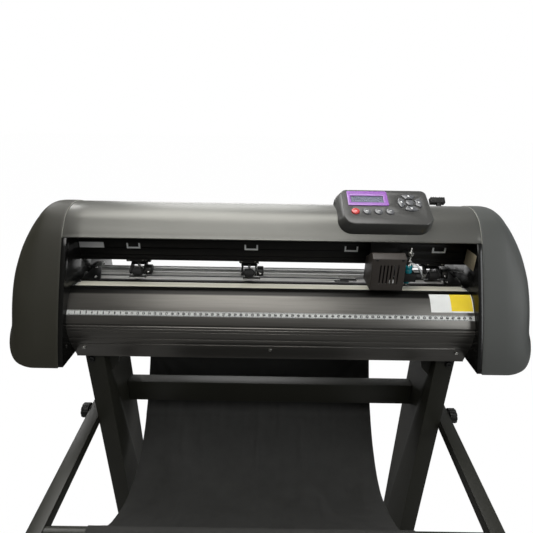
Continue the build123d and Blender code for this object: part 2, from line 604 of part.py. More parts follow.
bezel = poly_z(rounded_outline(*BEZEL, 2, 2), 0.02, 1.4) - box(*LCD, -1, 3)
save("lcd_bezel", POD * bezel)
save("lcd_screen", POD * inset_box(BEZEL, 3.6, -7, -0.4))
for name, u in ROUND_KEYS.items():
    save(name, POD * round_key(u, ROW_W, 8.6))
for name, middle in ARROW_KEYS.items():
    key = arc_key(middle, 35.2, 10.3, 21.2, *KEY_CAP)
    save(name, POD * (key + arc_key(middle, 36.6, 9.8, 22.0, *KEY_FLANGE)))
save("enter_key", POD * round_key(*NAV, 8.2))

# ---------------------------------------------------------------- stand
def tube(x0, x1, y0, y1, z0, z1, wall):
    """Closed hollow box."""
    return box(x0, x1, y0, y1, z0, z1) - box(x0 + wall, x1 - wall, y0 + wall, y1 - wall,
                                             z0 + wall, z1 - wall)


leg = box(LEG_X0, LEG_X1, LEG_Y0, LEG_Y1, -700, LEG_TOP)
leg = leg - box(LEG_X0 + 3, LEG_X1 - 3, LEG_Y0 + 3, LEG_Y1 - 3, -697, -9)
leg = leg + tube(LEG_X0 - 4, LEG_X1 + 4, STAND_Y - 270, STAND_Y + 270, -724, -700, 3)
leg = leg + poly_y([(LEG_X0, LEG_TOP), (LEG_X0 - 22, LEG_TOP), (LEG_X0 - 21, -22),
                    (LEG_X0 - 16, -44), (LEG_X0, -62)], LEG_Y0 + 20, LEG_Y0 + 24)    # gusset
for x, y in BOLT_XY[2:]:
    leg = leg - cyl_z(x, y, BOLT_HOLE_R, -12, 0)
for z in (-640.0, -240.0):                                    # spare holes for a roll holder
    leg = leg - cyl_y(LEG_X, z, 4.25, LEG_Y1 - 5, LEG_Y1 + 2)
leg = leg - cyl_x(ARM_Y, ARM_Z, ARM_HOLE_R, LEG_X1 - 5, LEG_X1 + 2)
save("stand_legs", leg, mirror_x(leg))

save("cross_beam", box(-LEG_X0, LEG_X0, 135, 160, -188, -138)
     - box(-LEG_X0 - 1, LEG_X0 + 1, 137, 158, -186, -140))

cloth_rail = cyl_x(250, -105, 7.0, -300, 300)
for side in (-1, 1):                                          # hangers
    cloth_rail = cloth_rail + box(side * 300.0, side * 306.0, 240, 260, -114, LEG_TOP)
save("cloth_rail", cloth_rail)


def foot(x, y):
    return (cyl_z(x, y, 22, FLOOR, -731) + cyl_z(x, y, 12, -731, -728)
            + cyl_z(x, y, 5, -728, -724.02))


save("levelling_feet", *[foot(x, y) for x in (-LEG_X, LEG_X)
                         for y in (STAND_Y - 245, STAND_Y + 245)])

# ---------------------------------------------------------------- fasteners
APRON_SCREW = (41.9, 15.5)        # y, z on the lower face of the apron
APRON_NORMAL = (-0.9356, -0.3532)
HEAD_LIFT = 0.95                  # centre of the screw head above the face

screw_head = (Cylinder(3.6, 1.8) - Pos(0, 0, 0.6) * Box(0.8, 4.6, 0.8)
              - Pos(0, 0, 0.6) * Box(4.6, 0.8, 0.8))
screw_tilt = Rot(math.degrees(math.atan2(-APRON_NORMAL[0], APRON_NORMAL[1])), 0, 0)
head_y, head_z = [at + n * HEAD_LIFT for at, n in zip(APRON_SCREW, APRON_NORMAL)]
fasteners = [Pos(x, head_y, head_z) * (screw_tilt * screw_head) for x in (-336.0, 0.0, 336.0)]
for x, y in BOLT_XY:
    fasteners.append(cyl_z(x, y, 4.0, -8.99, -3.4) + cyl_z(x, y, 6.5, -3.55, 1.0))
save("fasteners", *fasteners)

# ---------------------------------------------------------------- catch frame
ROD_Y, ROD_Z, ROD_R = -150.0, -196.0, 8.0
arm_length = math.hypot(ROD_Y - ARM_Y, ROD_Z - ARM_Z)
arm_angle = math.degrees(math.atan2(ARM_Z - ROD_Z, ARM_Y - ROD_Y))
bar = box(347.6, 371.6, -arm_length - 12, 24, -10, 10)
bar = Pos(0, ARM_Y, ARM_Z) * (Rot(arm_angle, 0, 0) * bar)
bar = bar - cyl_x(ARM_Y, ARM_Z, ARM_HOLE_R, 340, 380)
save("catch_frame", bar + mirror_x(bar) + cyl_x(ROD_Y, ROD_Z, ROD_R, -347.7, 347.7))

knob = cyl_x(ARM_Y, ARM_Z, 4.0, 342.4, 372.2) + cyl_x(ARM_Y, ARM_Z, 15.0, 374.0, 388.0)
knob = knob + cyl_x(ARM_Y, ARM_Z, 8.0, 371.9, 374.0)
for k in range(10):                                           # finger grooves
    knob = knob - cyl_x(*around(ARM_Y, ARM_Z, 16.2, 36 * k), 2.4, 373.9, 389)
save("arm_knob_right", knob)
save("arm_knob_left", mirror_x(knob))

CLOTH_HALF_X, CLOTH_X = 263.0, -25.0    # half width, and how far it hangs off centre
CLOTH_HALF_T = 1.5
# Sag of the cloth (y, z) from the rail at the back to the rod in front
cloth_path = smooth([(243.0, -114.5), (224, -141), (160, -217), (100, -289), (64, -322),
                     (34, -331), (0, -322), (-60, -284), (-110, -240), (-146, -209)], 2)
cloth = offset_line(cloth_path, CLOTH_HALF_T) + offset_line(cloth_path, -CLOTH_HALF_T)[::-1]
save("catch_cloth", poly_x(cloth, CLOTH_X - CLOTH_HALF_X, CLOTH_X + CLOTH_HALF_X))
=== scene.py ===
"""Roll-fed cutting plotter on a floor stand, with a cloth hung below it.

Shapes are written in machine millimetres: X runs along the machine (left end negative),
Y from front to back, Z up. metres() carries them into the frame that holds the CAD pieces.
Bevel widths, sheet thicknesses and shader distances are in metres.
"""
import bpy
import bmesh
import json
import math
import random
from mathutils import Vector, Matrix, noise
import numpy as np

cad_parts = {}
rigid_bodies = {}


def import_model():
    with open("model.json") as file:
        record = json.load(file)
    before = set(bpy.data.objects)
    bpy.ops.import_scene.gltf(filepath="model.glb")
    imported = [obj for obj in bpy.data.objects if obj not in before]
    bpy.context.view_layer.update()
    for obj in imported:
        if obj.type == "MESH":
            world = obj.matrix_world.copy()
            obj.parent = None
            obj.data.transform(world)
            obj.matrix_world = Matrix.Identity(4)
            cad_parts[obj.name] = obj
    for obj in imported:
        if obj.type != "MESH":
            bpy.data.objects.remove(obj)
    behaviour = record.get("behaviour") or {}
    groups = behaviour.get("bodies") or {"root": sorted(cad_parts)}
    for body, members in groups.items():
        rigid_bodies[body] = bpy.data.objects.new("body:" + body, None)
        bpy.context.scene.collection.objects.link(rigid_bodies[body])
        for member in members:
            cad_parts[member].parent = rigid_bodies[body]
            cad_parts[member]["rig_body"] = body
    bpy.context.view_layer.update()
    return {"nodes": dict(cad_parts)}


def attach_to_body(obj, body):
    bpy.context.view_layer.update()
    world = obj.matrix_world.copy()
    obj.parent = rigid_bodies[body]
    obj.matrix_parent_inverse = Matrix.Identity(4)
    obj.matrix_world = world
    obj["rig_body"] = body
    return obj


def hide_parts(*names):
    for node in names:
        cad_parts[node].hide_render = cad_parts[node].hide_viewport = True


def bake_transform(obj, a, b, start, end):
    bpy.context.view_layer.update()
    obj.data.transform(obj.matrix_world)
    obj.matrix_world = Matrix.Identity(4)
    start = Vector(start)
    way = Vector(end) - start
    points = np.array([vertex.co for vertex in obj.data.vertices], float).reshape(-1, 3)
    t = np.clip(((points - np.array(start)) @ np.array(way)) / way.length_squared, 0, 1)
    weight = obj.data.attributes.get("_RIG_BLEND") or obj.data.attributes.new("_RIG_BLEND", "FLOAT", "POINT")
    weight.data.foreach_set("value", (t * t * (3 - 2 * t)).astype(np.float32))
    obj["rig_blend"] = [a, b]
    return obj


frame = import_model()
SCENE = bpy.context.scene
FRAME_Y, FRAME_Z = -105.0, 740.0                  # machine origin in the frame, mm
SIDES = (-1, 1)                                   # left, right
DRUM_X = (-256.0, -38.0, 147.0, 309.0)            # centres of the grit drums
DRUM_Y, DRUM_Z = 136.0, 107.5
PINCH_X = {"left": -256.0, "mid": -43.0, "right": 309.0}


def metres(x, y, z):
    """machine millimetres to frame metres"""
    return Vector((x / 1000.0, (y + FRAME_Y) / 1000.0, (z + FRAME_Z) / 1000.0))


# ------------------------------------------------------------------ materials
def srgb(*channels):
    """0-255 sRGB to a linear colour"""
    def linear(value):
        c = value / 255.0
        return c / 12.92 if c <= 0.04045 else ((c + 0.055) / 1.055) ** 2.4
    return tuple(linear(value) for value in channels) + (1.0,)


def scaled(color, factor):
    return tuple(min(c * factor, 1) for c in color[:3]) + (1,)


BLACK, WHITE = (0, 0, 0, 1), (1, 1, 1, 1)


class Shader:
    """a material with short ways to add and link nodes"""

    def __init__(self, name):
        self.material = bpy.data.materials.new(name)
        self.material.use_nodes = True
        self.nodes = self.material.node_tree.nodes
        self.links = self.material.node_tree.links
        self.principled = self.nodes.get("Principled BSDF")
        self.coords = self.nodes.new("ShaderNodeTexCoord").outputs["Object"]

    def add(self, kind, **settings):
        node = self.nodes.new(kind)
        for key, value in settings.items():
            setattr(node, key, value)
        return node

    def feed(self, socket, value):
        """link a socket, or set a plain value"""
        if isinstance(value, bpy.types.NodeSocket):
            self.links.new(value, socket)
        else:
            socket.default_value = value

    def mapping(self, scale, rotation=(0, 0, 0)):
        node = self.add("ShaderNodeMapping")
        node.inputs["Scale"].default_value = scale
        node.inputs["Rotation"].default_value = rotation
        self.links.new(self.coords, node.inputs["Vector"])
        return node.outputs["Vector"]

    def noise(self, scale, detail=2.0, rough=0.5, vector=None):
        node = self.add("ShaderNodeTexNoise")
        node.inputs["Scale"].default_value = scale
        node.inputs["Detail"].default_value = detail
        node.inputs["Roughness"].default_value = rough
        self.links.new(self.coords if vector is None else vector, node.inputs["Vector"])
        return node.outputs["Fac"]

    def ramp(self, factor, low, high):
        """black below low, white above high"""
        node = self.add("ShaderNodeValToRGB")
        stops = node.color_ramp.elements
        while len(stops) > 1:
            stops.remove(stops[-1])
        stops[0].position, stops[0].color = low, BLACK
        stops.new(high).color = WHITE
        self.links.new(factor, node.inputs["Fac"])
        return node.outputs["Color"]

    def mix(self, factor, first, second):
        node = self.add("ShaderNodeMix", data_type="RGBA")
        for index, value in ((0, factor), (6, first), (7, second)):
            self.feed(node.inputs[index], value)
        return node.outputs[2]

    def math(self, operation, a, b, clamp=False):
        node = self.add("ShaderNodeMath", operation=operation, use_clamp=clamp)
        self.feed(node.inputs[0], a)
        self.feed(node.inputs[1], b)
        return node.outputs[0]

    def times(self, a, b):
        return self.math("MULTIPLY", a, b)

    def plus(self, a, b):
        return self.math("ADD", a, b)

    def bump(self, height, distance):
        node = self.add("ShaderNodeBump")
        node.inputs["Distance"].default_value = distance
        self.links.new(height, node.inputs["Height"])
        return node.outputs["Normal"]

    def edges(self, low=0.55, high=0.75):
        """bright where the surface has a convex edge"""
        geometry = self.add("ShaderNodeNewGeometry")
        return self.ramp(geometry.outputs["Pointiness"], low, high)

    def finish(self, inputs):
        for name, value in inputs.items():
            self.feed(self.principled.inputs[name], value)
        return self.material


# In the makers below depth is the bump height, wear the lightening of edges.
def plastic(name, color, rough=0.5, grain=1700.0, depth=0.00006, mottle=0.12, coat=0.0,
            wear=0.35):
    """moulded plastic with a fine grain, mottled and lightly dusty"""
    s = Shader(name)
    broad = s.noise(9.0, 3.0, 0.55)
    fine = s.noise(grain, 2.0, 0.6)
    middle = s.noise(grain * 0.22, 3.0, 0.6)
    tint = s.mix(s.times(broad, 1.0), scaled(color, 1 - mottle), scaled(color, 1 + mottle))
    tint = s.mix(s.times(fine, 0.35), tint, scaled(color, 0.75))
    edges = s.edges()
    tint = s.mix(s.times(edges, wear), tint, scaled(color, 2.2))
    dust = s.ramp(s.noise(38.0, 5.0, 0.7), 0.5, 0.75)
    roughness = s.plus(s.times(broad, 0.10), rough - 0.05)
    roughness = s.plus(roughness, s.times(dust, 0.06))
    height = s.plus(s.times(fine, 0.7), s.times(middle, 0.5))
    return s.finish({"Base Color": tint, "Roughness": roughness,
                     "Normal": s.bump(height, depth), "Specular IOR Level": 0.5,
                     "Coat Weight": coat, "Coat Roughness": 0.25})


def powder(name, color, rough=0.42, metal=0.0, peel=520.0, depth=0.00010, specular=0.5,
           wear=0.3):
    """powder coat: orange peel of scale peel, and fine bright specks"""
    s = Shader(name)
    broad = s.noise(5.0, 3.0, 0.5)
    bumps = s.noise(peel, 1.0, 0.4)
    fine = s.noise(3200.0, 1.0, 0.5)
    tint = s.mix(broad, scaled(color, 0.88), scaled(color, 1.12))
    edges = s.edges()
    tint = s.mix(s.times(edges, wear), tint, scaled(color, 2.5))
    specks = s.ramp(fine, 0.62, 0.72)
    tint = s.mix(s.times(specks, 0.10), tint, scaled(color, 3.0))
    roughness = s.plus(s.times(bumps, 0.12), rough - 0.06)
    normal = s.bump(s.plus(bumps, s.times(fine, 0.15)), depth)
    return s.finish({"Base Color": tint, "Roughness": roughness, "Normal": normal,
                     "Metallic": metal, "Specular IOR Level": specular})


def brushed(name, color, rough=0.32, metal=1.0, depth=0.00003, contrast=0.25, shade_from_y=None):
    """metal brushed along X; when a frame depth is given, painted shade blackens the surface beyond it"""
    s = Shader(name)
    streaks = s.noise(1.0, 4.0, 0.65, s.mapping((9.0, 1500.0, 1500.0)))
    bands = s.noise(1.0, 3.0, 0.6, s.mapping((1.3, 70.0, 70.0)))
    broad = s.noise(7.0, 3.0, 0.5)
    tint = s.mix(streaks, scaled(color, 1 - contrast), scaled(color, 1 + contrast))
    tint = s.mix(s.times(bands, 0.5), tint, scaled(color, 0.72))
    edges = s.edges()
    tint = s.mix(s.times(edges, 0.4), tint, scaled(color, 1.8))
    if shade_from_y is not None:
        axes = s.add("ShaderNodeSeparateXYZ")
        s.links.new(s.coords, axes.inputs[0])
        # painted shade: the colour falls to a tenth beyond the given frame depth
        behind = s.math("MULTIPLY", s.math("SUBTRACT", axes.outputs["Y"], shade_from_y), 400.0, True)
        tint = s.mix(behind, tint, scaled(color, 0.10))
    roughness = s.plus(s.times(streaks, 0.16), rough - 0.08)
    roughness = s.plus(roughness, s.times(broad, 0.05))
    return s.finish({"Base Color": tint, "Roughness": roughness, "Metallic": metal,
                     "Normal": s.bump(streaks, depth)})


def gloss(name, color, rough=0.22, coat=0.6, specular=0.6):
    """shiny plastic or print with faint slanting scratches"""
    s = Shader(name)
    broad = s.noise(60.0, 3.0, 0.5)
    scratches = s.noise(900.0, 4.0, 0.7, s.mapping((1, 0.25, 1), (0.3, 0.2, 0.9)))
    tint = s.mix(broad, scaled(color, 1 - 0.08), scaled(color, 1 + 0.08))
    edges = s.edges(0.52, 0.7)
    tint = s.mix(s.times(edges, 0.25), tint, scaled(color, 1.7))
    roughness = s.plus(s.times(scratches, 0.12), rough - 0.05)
    return s.finish({"Base Color": tint, "Roughness": roughness, "Coat Weight": coat,
                     "Coat Roughness": 0.12, "Specular IOR Level": specular,
                     "Normal": s.bump(scratches, 0.00001)})


def rubber(name, color=(0.012, 0.012, 0.012, 1), rough=0.68):
    s = Shader(name)
    broad = s.noise(40.0, 4.0, 0.6)
    fine = s.noise(2400.0, 2.0, 0.5)
    tint = s.mix(broad, color, scaled(color, 1.9))
    tint = s.mix(s.times(s.edges(), 0.4), tint, scaled(color, 3.0))
    roughness = s.plus(s.times(broad, 0.12), rough - 0.06)
    return s.finish({"Base Color": tint, "Roughness": roughness,
                     "Normal": s.bump(fine, 0.00005), "Specular IOR Level": 0.35})


MAT = {
    # one plastic for both end covers: the left copy is darkened olive as painted shade, the right copy
    # lightened grey as painted light
    "cover_l": plastic("cover_painted_shade_left", srgb(44, 43, 35), rough=0.50, grain=1500,
                       depth=0.00007, wear=0.10),
    "cover_r": plastic("cover_painted_light_right", srgb(74, 76, 74), rough=0.46, grain=1500,
                       depth=0.00007, wear=0.10),
    "hood": powder("hood_coat", srgb(106, 106, 102), rough=0.35, metal=0.65, peel=700,
                   depth=0.00004, wear=0.12),
    "dark_sheet": powder("dark_sheet", srgb(24, 24, 22), rough=0.45),
    "side_black": powder("side_black", srgb(13, 13, 12), rough=0.20, peel=500,
                         depth=0.00002, specular=0.6, wear=0.15),
    "beam": brushed("beam_anodised", srgb(20, 19, 18), rough=0.42, metal=0.35, depth=0.00002),
    # the apron's top band under the cutting strip is blackened as painted shade of the hood
    "apron": brushed("apron_anodised", srgb(112, 110, 106), rough=0.30, metal=0.8,
                     depth=0.00005, contrast=0.45, shade_from_y=-0.0383),
    "platen": brushed("platen_anodised", srgb(205, 205, 200), rough=0.42, metal=0.15),
    "ledge": powder("guide_ledge", srgb(186, 186, 182), metal=0.1, peel=700, depth=0.00004),
    "steel": brushed("steel_brushed", srgb(165, 165, 162), rough=0.30),
    "chrome": brushed("zinc_bright", srgb(205, 205, 200), rough=0.18, depth=0.00001,
                      contrast=0.1),
    "strip": plastic("strip_plastic", srgb(214, 212, 196), rough=0.45, grain=2000,
                     depth=0.00003, mottle=0.05, wear=0.05),
    "white": gloss("mark_white", srgb(240, 242, 242), rough=0.30),
    "board": gloss("board_green", srgb(20, 84, 44), rough=0.4),
    "belt": rubber("belt_rubber"),
    "rubber": rubber("roller_rubber", (0.02, 0.02, 0.02, 1)),
    "pod": plastic("pod_texture", srgb(56, 56, 54), rough=0.36, depth=0.00004, wear=0.2,
                   coat=0.35),
    "purple": gloss("bezel_purple", srgb(148, 92, 180), rough=0.35),
    "red": gloss("key_red", srgb(196, 52, 50), rough=0.25),
    "key": gloss("key_grey", srgb(92, 93, 96), rough=0.24),
    "black": plastic("black_plastic", srgb(20, 20, 19), rough=0.45, grain=1800,
                     depth=0.00005),
    "carriage": plastic("carriage_texture", srgb(60, 55, 51), grain=1600, wear=0.25),
    "teal": gloss("holder_teal", srgb(0, 124, 136), rough=0.25),
    "stand": powder("stand_coat", srgb(34, 34, 28), rough=0.40, peel=600, depth=0.000008,
                    wear=0.2),
    "foot": rubber("foot_rubber"),
    "cloth": rubber("cloth_tmp", (0.02, 0.02, 0.019, 1), rough=0.85),
    "lcd_cell": gloss("lcd_cell", srgb(104, 110, 126), rough=0.2),
    "yellow": gloss("label_yellow", srgb(232, 200, 30), rough=0.35),
    "label_white": gloss("label_white", srgb(226, 228, 226), rough=0.35),
    "label_silver": brushed("label_silver", srgb(225, 225, 225), rough=0.45, metal=0.1),
    "label_beige": plastic("label_beige", srgb(150, 140, 118), rough=0.6, grain=2200,
                           depth=0.00003),
    "ruler": gloss("ruler_white", srgb(196, 198, 196), rough=0.35),
    "ink": gloss("ruler_ink", srgb(16, 16, 17), rough=0.5, coat=0.0, specular=0.3),
    # pale colour painted as the highlight along the joint of hood and covers
    "bead": plastic("seam_highlight_paint", srgb(150, 150, 142), grain=2000, depth=0.00002, wear=0.0),
    "lcd": gloss("lcd_glass", srgb(112, 118, 134), rough=0.15),
}

CAD_NODES = {                                     # material: the CAD pieces that wear it
    "cover_l": "end_cover_left", "cover_r": "end_cover_right", "hood": "hood",
    "dark_sheet": "side_plates base_pan pinch_arm_left pinch_arm_mid pinch_arm_right",
    "beam": "gantry_beam carriage_block pinch_bracket_left pinch_bracket_mid"
            " pinch_bracket_right",
    "steel": "guide_rail power_supply shaft_bearings blade_tip x_drive_pulley"
             " x_idler_pulley grit_shaft y_motor_pulley lift_shaft",
    "apron": "front_apron", "platen": "platen_deck", "strip": "cutting_strip",
    "white": "ruler_strip position_marks", "belt": "drive_belts", "board": "main_board",
    "black": "stepper_motors tool_clamp clamp_knob lift_lever power_switch"
             " arm_knob_left arm_knob_right",
    "pod": "pod_housing", "purple": "lcd_bezel", "lcd": "lcd_screen",
    "stand": "stand_legs cross_beam cloth_rail catch_frame", "foot": "levelling_feet",
    "chrome": "fasteners", "carriage": "carriage_cover", "teal": "blade_holder",
    "red": "start_key", "cloth": "catch_cloth",
    "key": "menu_key test_key pause_key up_key down_key left_key right_key enter_key",
    "rubber": "pinch_roller_left pinch_roller_mid pinch_roller_right",
}
MATERIAL_OF = {node: key for key, names in CAD_NODES.items() for node in names.split()}

for node_name, piece in frame["nodes"].items():
    piece.data.materials.clear()
    piece.data.materials.append(MAT[MATERIAL_OF[node_name]])
    for polygon in piece.data.polygons:
        polygon.material_index = 0


# ---------------------------------------------------------------- mesh tools
def mesh_object(name, verts, faces):
    mesh = bpy.data.meshes.new(name)
    mesh.from_pydata([tuple(v) for v in verts], [], faces)
    obj = bpy.data.objects.new(name, mesh)
    SCENE.collection.objects.link(obj)
    return obj


def attach(obj, body, replaced=None):
    """tell the frame what the object rides on and stands in for"""
    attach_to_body(obj, body)
    if replaced:
        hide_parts(replaced)


def smooth_by_angle(obj, degrees=32.0):
    """smooth shading that keeps edges sharp above an angle"""
    mesh = obj.data
    mesh.polygons.foreach_set("use_smooth", [True] * len(mesh.polygons))
    bm = bmesh.new()
    bm.from_mesh(mesh)
    limit = math.radians(degrees)
    sharp = [len(e.link_faces) != 2 or e.calc_face_angle(0.0) > limit for e in bm.edges]
    bm.free()
    attributes = mesh.attributes
    layer = attributes.get("sharp_edge") or attributes.new("sharp_edge", "BOOLEAN", "EDGE")
    layer.data.foreach_set("value", sharp)


def clean(obj):
    """merge coincident points and turn the faces outwards"""
    bm = bmesh.new()
    bm.from_mesh(obj.data)
    bmesh.ops.remove_doubles(bm, verts=bm.verts, dist=1e-7)
    bmesh.ops.recalc_face_normals(bm, faces=bm.faces)
    bm.to_mesh(obj.data)
    bm.free()


def bake(obj):
    """make the modifiers' result the mesh"""
    graph = bpy.context.evaluated_depsgraph_get()
    graph.update()
    mesh = bpy.data.meshes.new_from_object(obj.evaluated_get(graph),
                                           preserve_all_data_layers=True, depsgraph=graph)
    mesh.name = obj.name
    obj.modifiers.clear()
    obj.data = mesh


def bevel_edges(obj, width, steps, degrees):
    bevel = obj.modifiers.new("edge", "BEVEL")
    bevel.width = width
    bevel.segments = steps
    bevel.limit_method = "ANGLE"
    bevel.angle_limit = math.radians(degrees)
    bevel.use_clamp_overlap = True
    bevel.miter_outer = "MITER_ARC"
    bake(obj)


def thicken(obj, thickness):
    """give a sheet thickness, half to each side"""
    solid = obj.modifiers.new("thick", "SOLIDIFY")
    solid.thickness = thickness
    solid.offset = 0
    bake(obj)


def cut_away(obj, shape):
    tool = mesh_object("cut", [metres(*v) for v in shape.verts], shape.faces)
    clean(tool)
    cut = obj.modifiers.new("cut", "BOOLEAN")
    cut.operation = "DIFFERENCE"
    cut.solver = "EXACT"
    cut.object = tool
    bake(obj)
    bpy.data.objects.remove(tool)


def rows(*axes):
    """matrix from three rows, without translation"""
    return Matrix([(*axis, 0) for axis in axes] + [(0, 0, 0, 1)])


YZ_ALONG_X = rows((0, 0, 1), (1, 0, 0), (0, 1, 0))
XZ_ALONG_Y = rows((1, 0, 0), (0, 0, 1), (0, 1, 0))


def facing(origin, direction):
    """placement at origin with local Z along a direction"""
    z = Vector(direction).normalized()
    x = Vector((1, 0, 0)) if abs(z.x) < 0.9 else Vector((0, 1, 0))
    y = z.cross(x).normalized()
    x = y.cross(z).normalized()
    return Matrix([(x[i], y[i], z[i], origin[i]) for i in range(3)] + [(0, 0, 0, 1)])


def along_x(x, y, z, sign=1):
    """placement with local Z along X, or against it for sign -1"""
    return Matrix.Translation((x, y, z)) @ Matrix.Rotation(math.radians(90 * sign), 4, "Y")


class Shape:
    """vertices and faces in machine millimetres; skin is a face's material index and
    place a matrix applied to the points"""

    def __init__(self):
        self.verts, self.faces, self.skins = [], [], []

    def add(self, verts, faces, skin=0, place=None):
        first = len(self.verts)
        for point in verts:
            point = Vector(point)
            self.verts.append(point if place is None else place @ point)
        for face in faces:
            self.faces.append([i + first for i in face])
            self.skins.append(skin)

    def box(self, x0, x1, y0, y1, z0, z1, skin=0, place=None):
        verts = [(x, y, z) for z in (z0, z1)
                 for x, y in ((x0, y0), (x1, y0), (x1, y1), (x0, y1))]
        faces = [(0, 3, 2, 1), (4, 5, 6, 7), (0, 1, 5, 4),
                 (1, 2, 6, 5), (2, 3, 7, 6), (3, 0, 4, 7)]
        self.add(verts, faces, skin, place)

    def prism(self, outline, low, high, skin=0, place=None):
        """outline in local XY, extruded along local Z"""
        n = len(outline)
        verts = at_height(outline, low) + at_height(outline, high)
        following = outline[1:] + outline[:1]
        doubled_area = sum(p[0] * q[1] - q[0] * p[1] for p, q in zip(outline, following))
        order = list(range(n))
        if doubled_area < 0:
            order.reverse()
        faces = [tuple(order[::-1]), tuple(i + n for i in order)]
        for a, b in zip(order, order[1:] + order[:1]):
            faces.append((a, b, b + n, a + n))
        self.add(verts, faces, skin, place)

    def prism_x(self, outline, x0, x1, skin=0):
        """(y, z) outline extruded along X"""
        self.prism(outline, x0, x1, skin, YZ_ALONG_X)

    def lathe(self, profile, steps, skin=0, place=None, swell=None):
        """(radius, height) profile turned about local Z; radius 0 closes an end, and
        swell(angle, height) scales the radius"""
        verts, faces, rings = [], [], []
        for radius, height in profile:
            if radius <= 1e-9:
                rings.append([len(verts)])
                verts.append((0, 0, height))
                continue
            rings.append(list(range(len(verts), len(verts) + steps)))
            for k in range(steps):
                angle = 2 * math.pi * k / steps
                r = radius * (swell(angle, height) if swell else 1.0)
                verts.append((r * math.cos(angle), r * math.sin(angle), height))
        for lower, upper in zip(rings, rings[1:]):
            if len(lower) == 1 and len(upper) == 1:
                continue
            for k in range(steps):
                k2 = (k + 1) % steps
                if len(lower) == 1:
                    faces.append((lower[0], upper[k], upper[k2]))
                elif len(upper) == 1:
                    faces.append((lower[k], lower[k2], upper[0]))
                else:
                    faces.append((lower[k], lower[k2], upper[k2], upper[k]))
        self.add(verts, faces, skin, place)

    def loft(self, rings, place=None, closed=True, cap_start=True, cap_end=True):
        n = len(rings[0])
        last = (len(rings) - 1) * n
        verts = [point for ring in rings for point in ring]
        faces = []
        for start in range(0, last, n):
            for k in range(n if closed else n - 1):
                k2 = (k + 1) % n
                faces.append((start + k, start + k2, start + n + k2, start + n + k))
        if cap_start:
            faces.append(tuple(range(n))[::-1])
        if cap_end:
            faces.append(tuple(last + k for k in range(n)))
        self.add(verts, faces, 0, place)

    def tube(self, path, radius, steps):
        """round bar along a path; radius may be a function of the share of its points"""
        path = [Vector(p) for p in path]
        last = len(path) - 1
        up = Vector((0, 0, 1))
        start = (path[1] - path[0]).normalized()
        if abs(start.dot(up)) > 0.9:
            up = Vector((1, 0, 0))
        normal = start.cross(up).normalized()
        rings = []
        for i, point in enumerate(path):
            tangent = (path[min(i + 1, last)] - path[max(i - 1, 0)]).normalized()
            normal = (normal - tangent * normal.dot(tangent)).normalized()
            side = tangent.cross(normal)
            r = radius(i / last) if callable(radius) else radius
            angles = [2 * math.pi * k / steps for k in range(steps)]
            rings.append([point + (normal * math.cos(a) + side * math.sin(a)) * r
                          for a in angles])
        self.loft(rings)

    def make(self, name, materials, body=None, replaced=None,
             bevel=0.0, steps=2, bevel_angle=35.0, smooth=32.0):
        """the finished object; it is attached only if a body is given"""
        obj = mesh_object(name, [metres(*v) for v in self.verts], self.faces)
        obj.data.polygons.foreach_set("material_index", self.skins)
        for key in (materials if isinstance(materials, list) else [materials]):
            obj.data.materials.append(MAT[key])
        clean(obj)
        if bevel:
            bevel_edges(obj, bevel, steps, bevel_angle)
        smooth_by_angle(obj, smooth)
        if body:
            attach(obj, body, replaced)
        return obj


def area_and_volume(mesh):
    mesh.calc_loop_triangles()
    area = volume = 0.0
    points = [v.co for v in mesh.vertices]
    for triangle in mesh.loop_triangles:
        p, q, r = (points[i] for i in triangle.vertices)
        normal = (q - p).cross(r - p)
        area += normal.length * 0.5
        volume += p.dot(normal) / 6.0
    return area, volume


def refine(node, material, bevel=0.0004, steps=2, planar=0.6, bevel_angle=35.0,
           smooth=32.0):
    """a finished piece from a CAD piece: points merged, faces within planar degrees joined,
    edges rounded. Simpler settings are taken while area or volume strays too far."""
    area_limit, volume_limit = 0.04, 0.02
    source = frame["nodes"][node]
    area, volume = area_and_volume(source.data)
    attempts = ((bevel, planar), (bevel * 0.5, planar), (bevel * 0.5, 0.0), (0.0, 0.0))
    for width, flatness in attempts:
        mesh = source.data.copy()
        mesh.name = node + "_fin"
        if mesh.attributes.get("custom_normal"):
            mesh.attributes.remove(mesh.attributes["custom_normal"])
        obj = bpy.data.objects.new(node + "_fin", mesh)
        SCENE.collection.objects.link(obj)
        bm = bmesh.new()
        bm.from_mesh(mesh)
        bmesh.ops.remove_doubles(bm, verts=bm.verts, dist=2e-6)
        if flatness:
            bmesh.ops.dissolve_limit(bm, angle_limit=math.radians(flatness),
                                     use_dissolve_boundaries=False,
                                     verts=bm.verts, edges=bm.edges)
        bm.to_mesh(mesh)
        bm.free()
        mesh.materials.clear()
        mesh.materials.append(MAT[material])
        mesh.polygons.foreach_set("material_index", [0] * len(mesh.polygons))
        if width:
            bevel_edges(obj, width, steps, bevel_angle)
        new_area, new_volume = area_and_volume(obj.data)
        close = (abs(new_area - area) / area < area_limit
                 and abs(new_volume - volume) / abs(volume) < volume_limit)
        if close or not (width or flatness):
            break
        bpy.data.objects.remove(obj)
    smooth_by_angle(obj, smooth)
    attach(obj, source["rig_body"], node)


# ------------------------------------------------------------- outline tools
def at_height(outline, z):
    return [(p[0], p[1], z) for p in outline]


def at_x(x, outline):
    return [(x, p[0], p[1]) for p in outline]


def smooth_curve(points, steps):
    """Catmull-Rom curve through plane points"""
    curve = []
    last = len(points) - 1
    for i in range(last):
        p0, p1, p2, p3 = points[max(i - 1, 0)], points[i], points[i + 1], points[min(i + 2, last)]
        for k in range(steps):
            t = k / steps
            curve.append(tuple(
                0.5 * ((2 * p1[a]) + (-p0[a] + p2[a]) * t
                       + (2 * p0[a] - 5 * p1[a] + 4 * p2[a] - p3[a]) * t * t
                       + (-p0[a] + 3 * p1[a] - 3 * p2[a] + p3[a]) * t ** 3)
                for a in (0, 1)))
    curve.append(tuple(map(float, points[-1])))
    return curve


def right_normal(a, b):
    dx, dy = b[0] - a[0], b[1] - a[1]
    length = math.hypot(dx, dy) or 1
    return dy / length, -dx / length


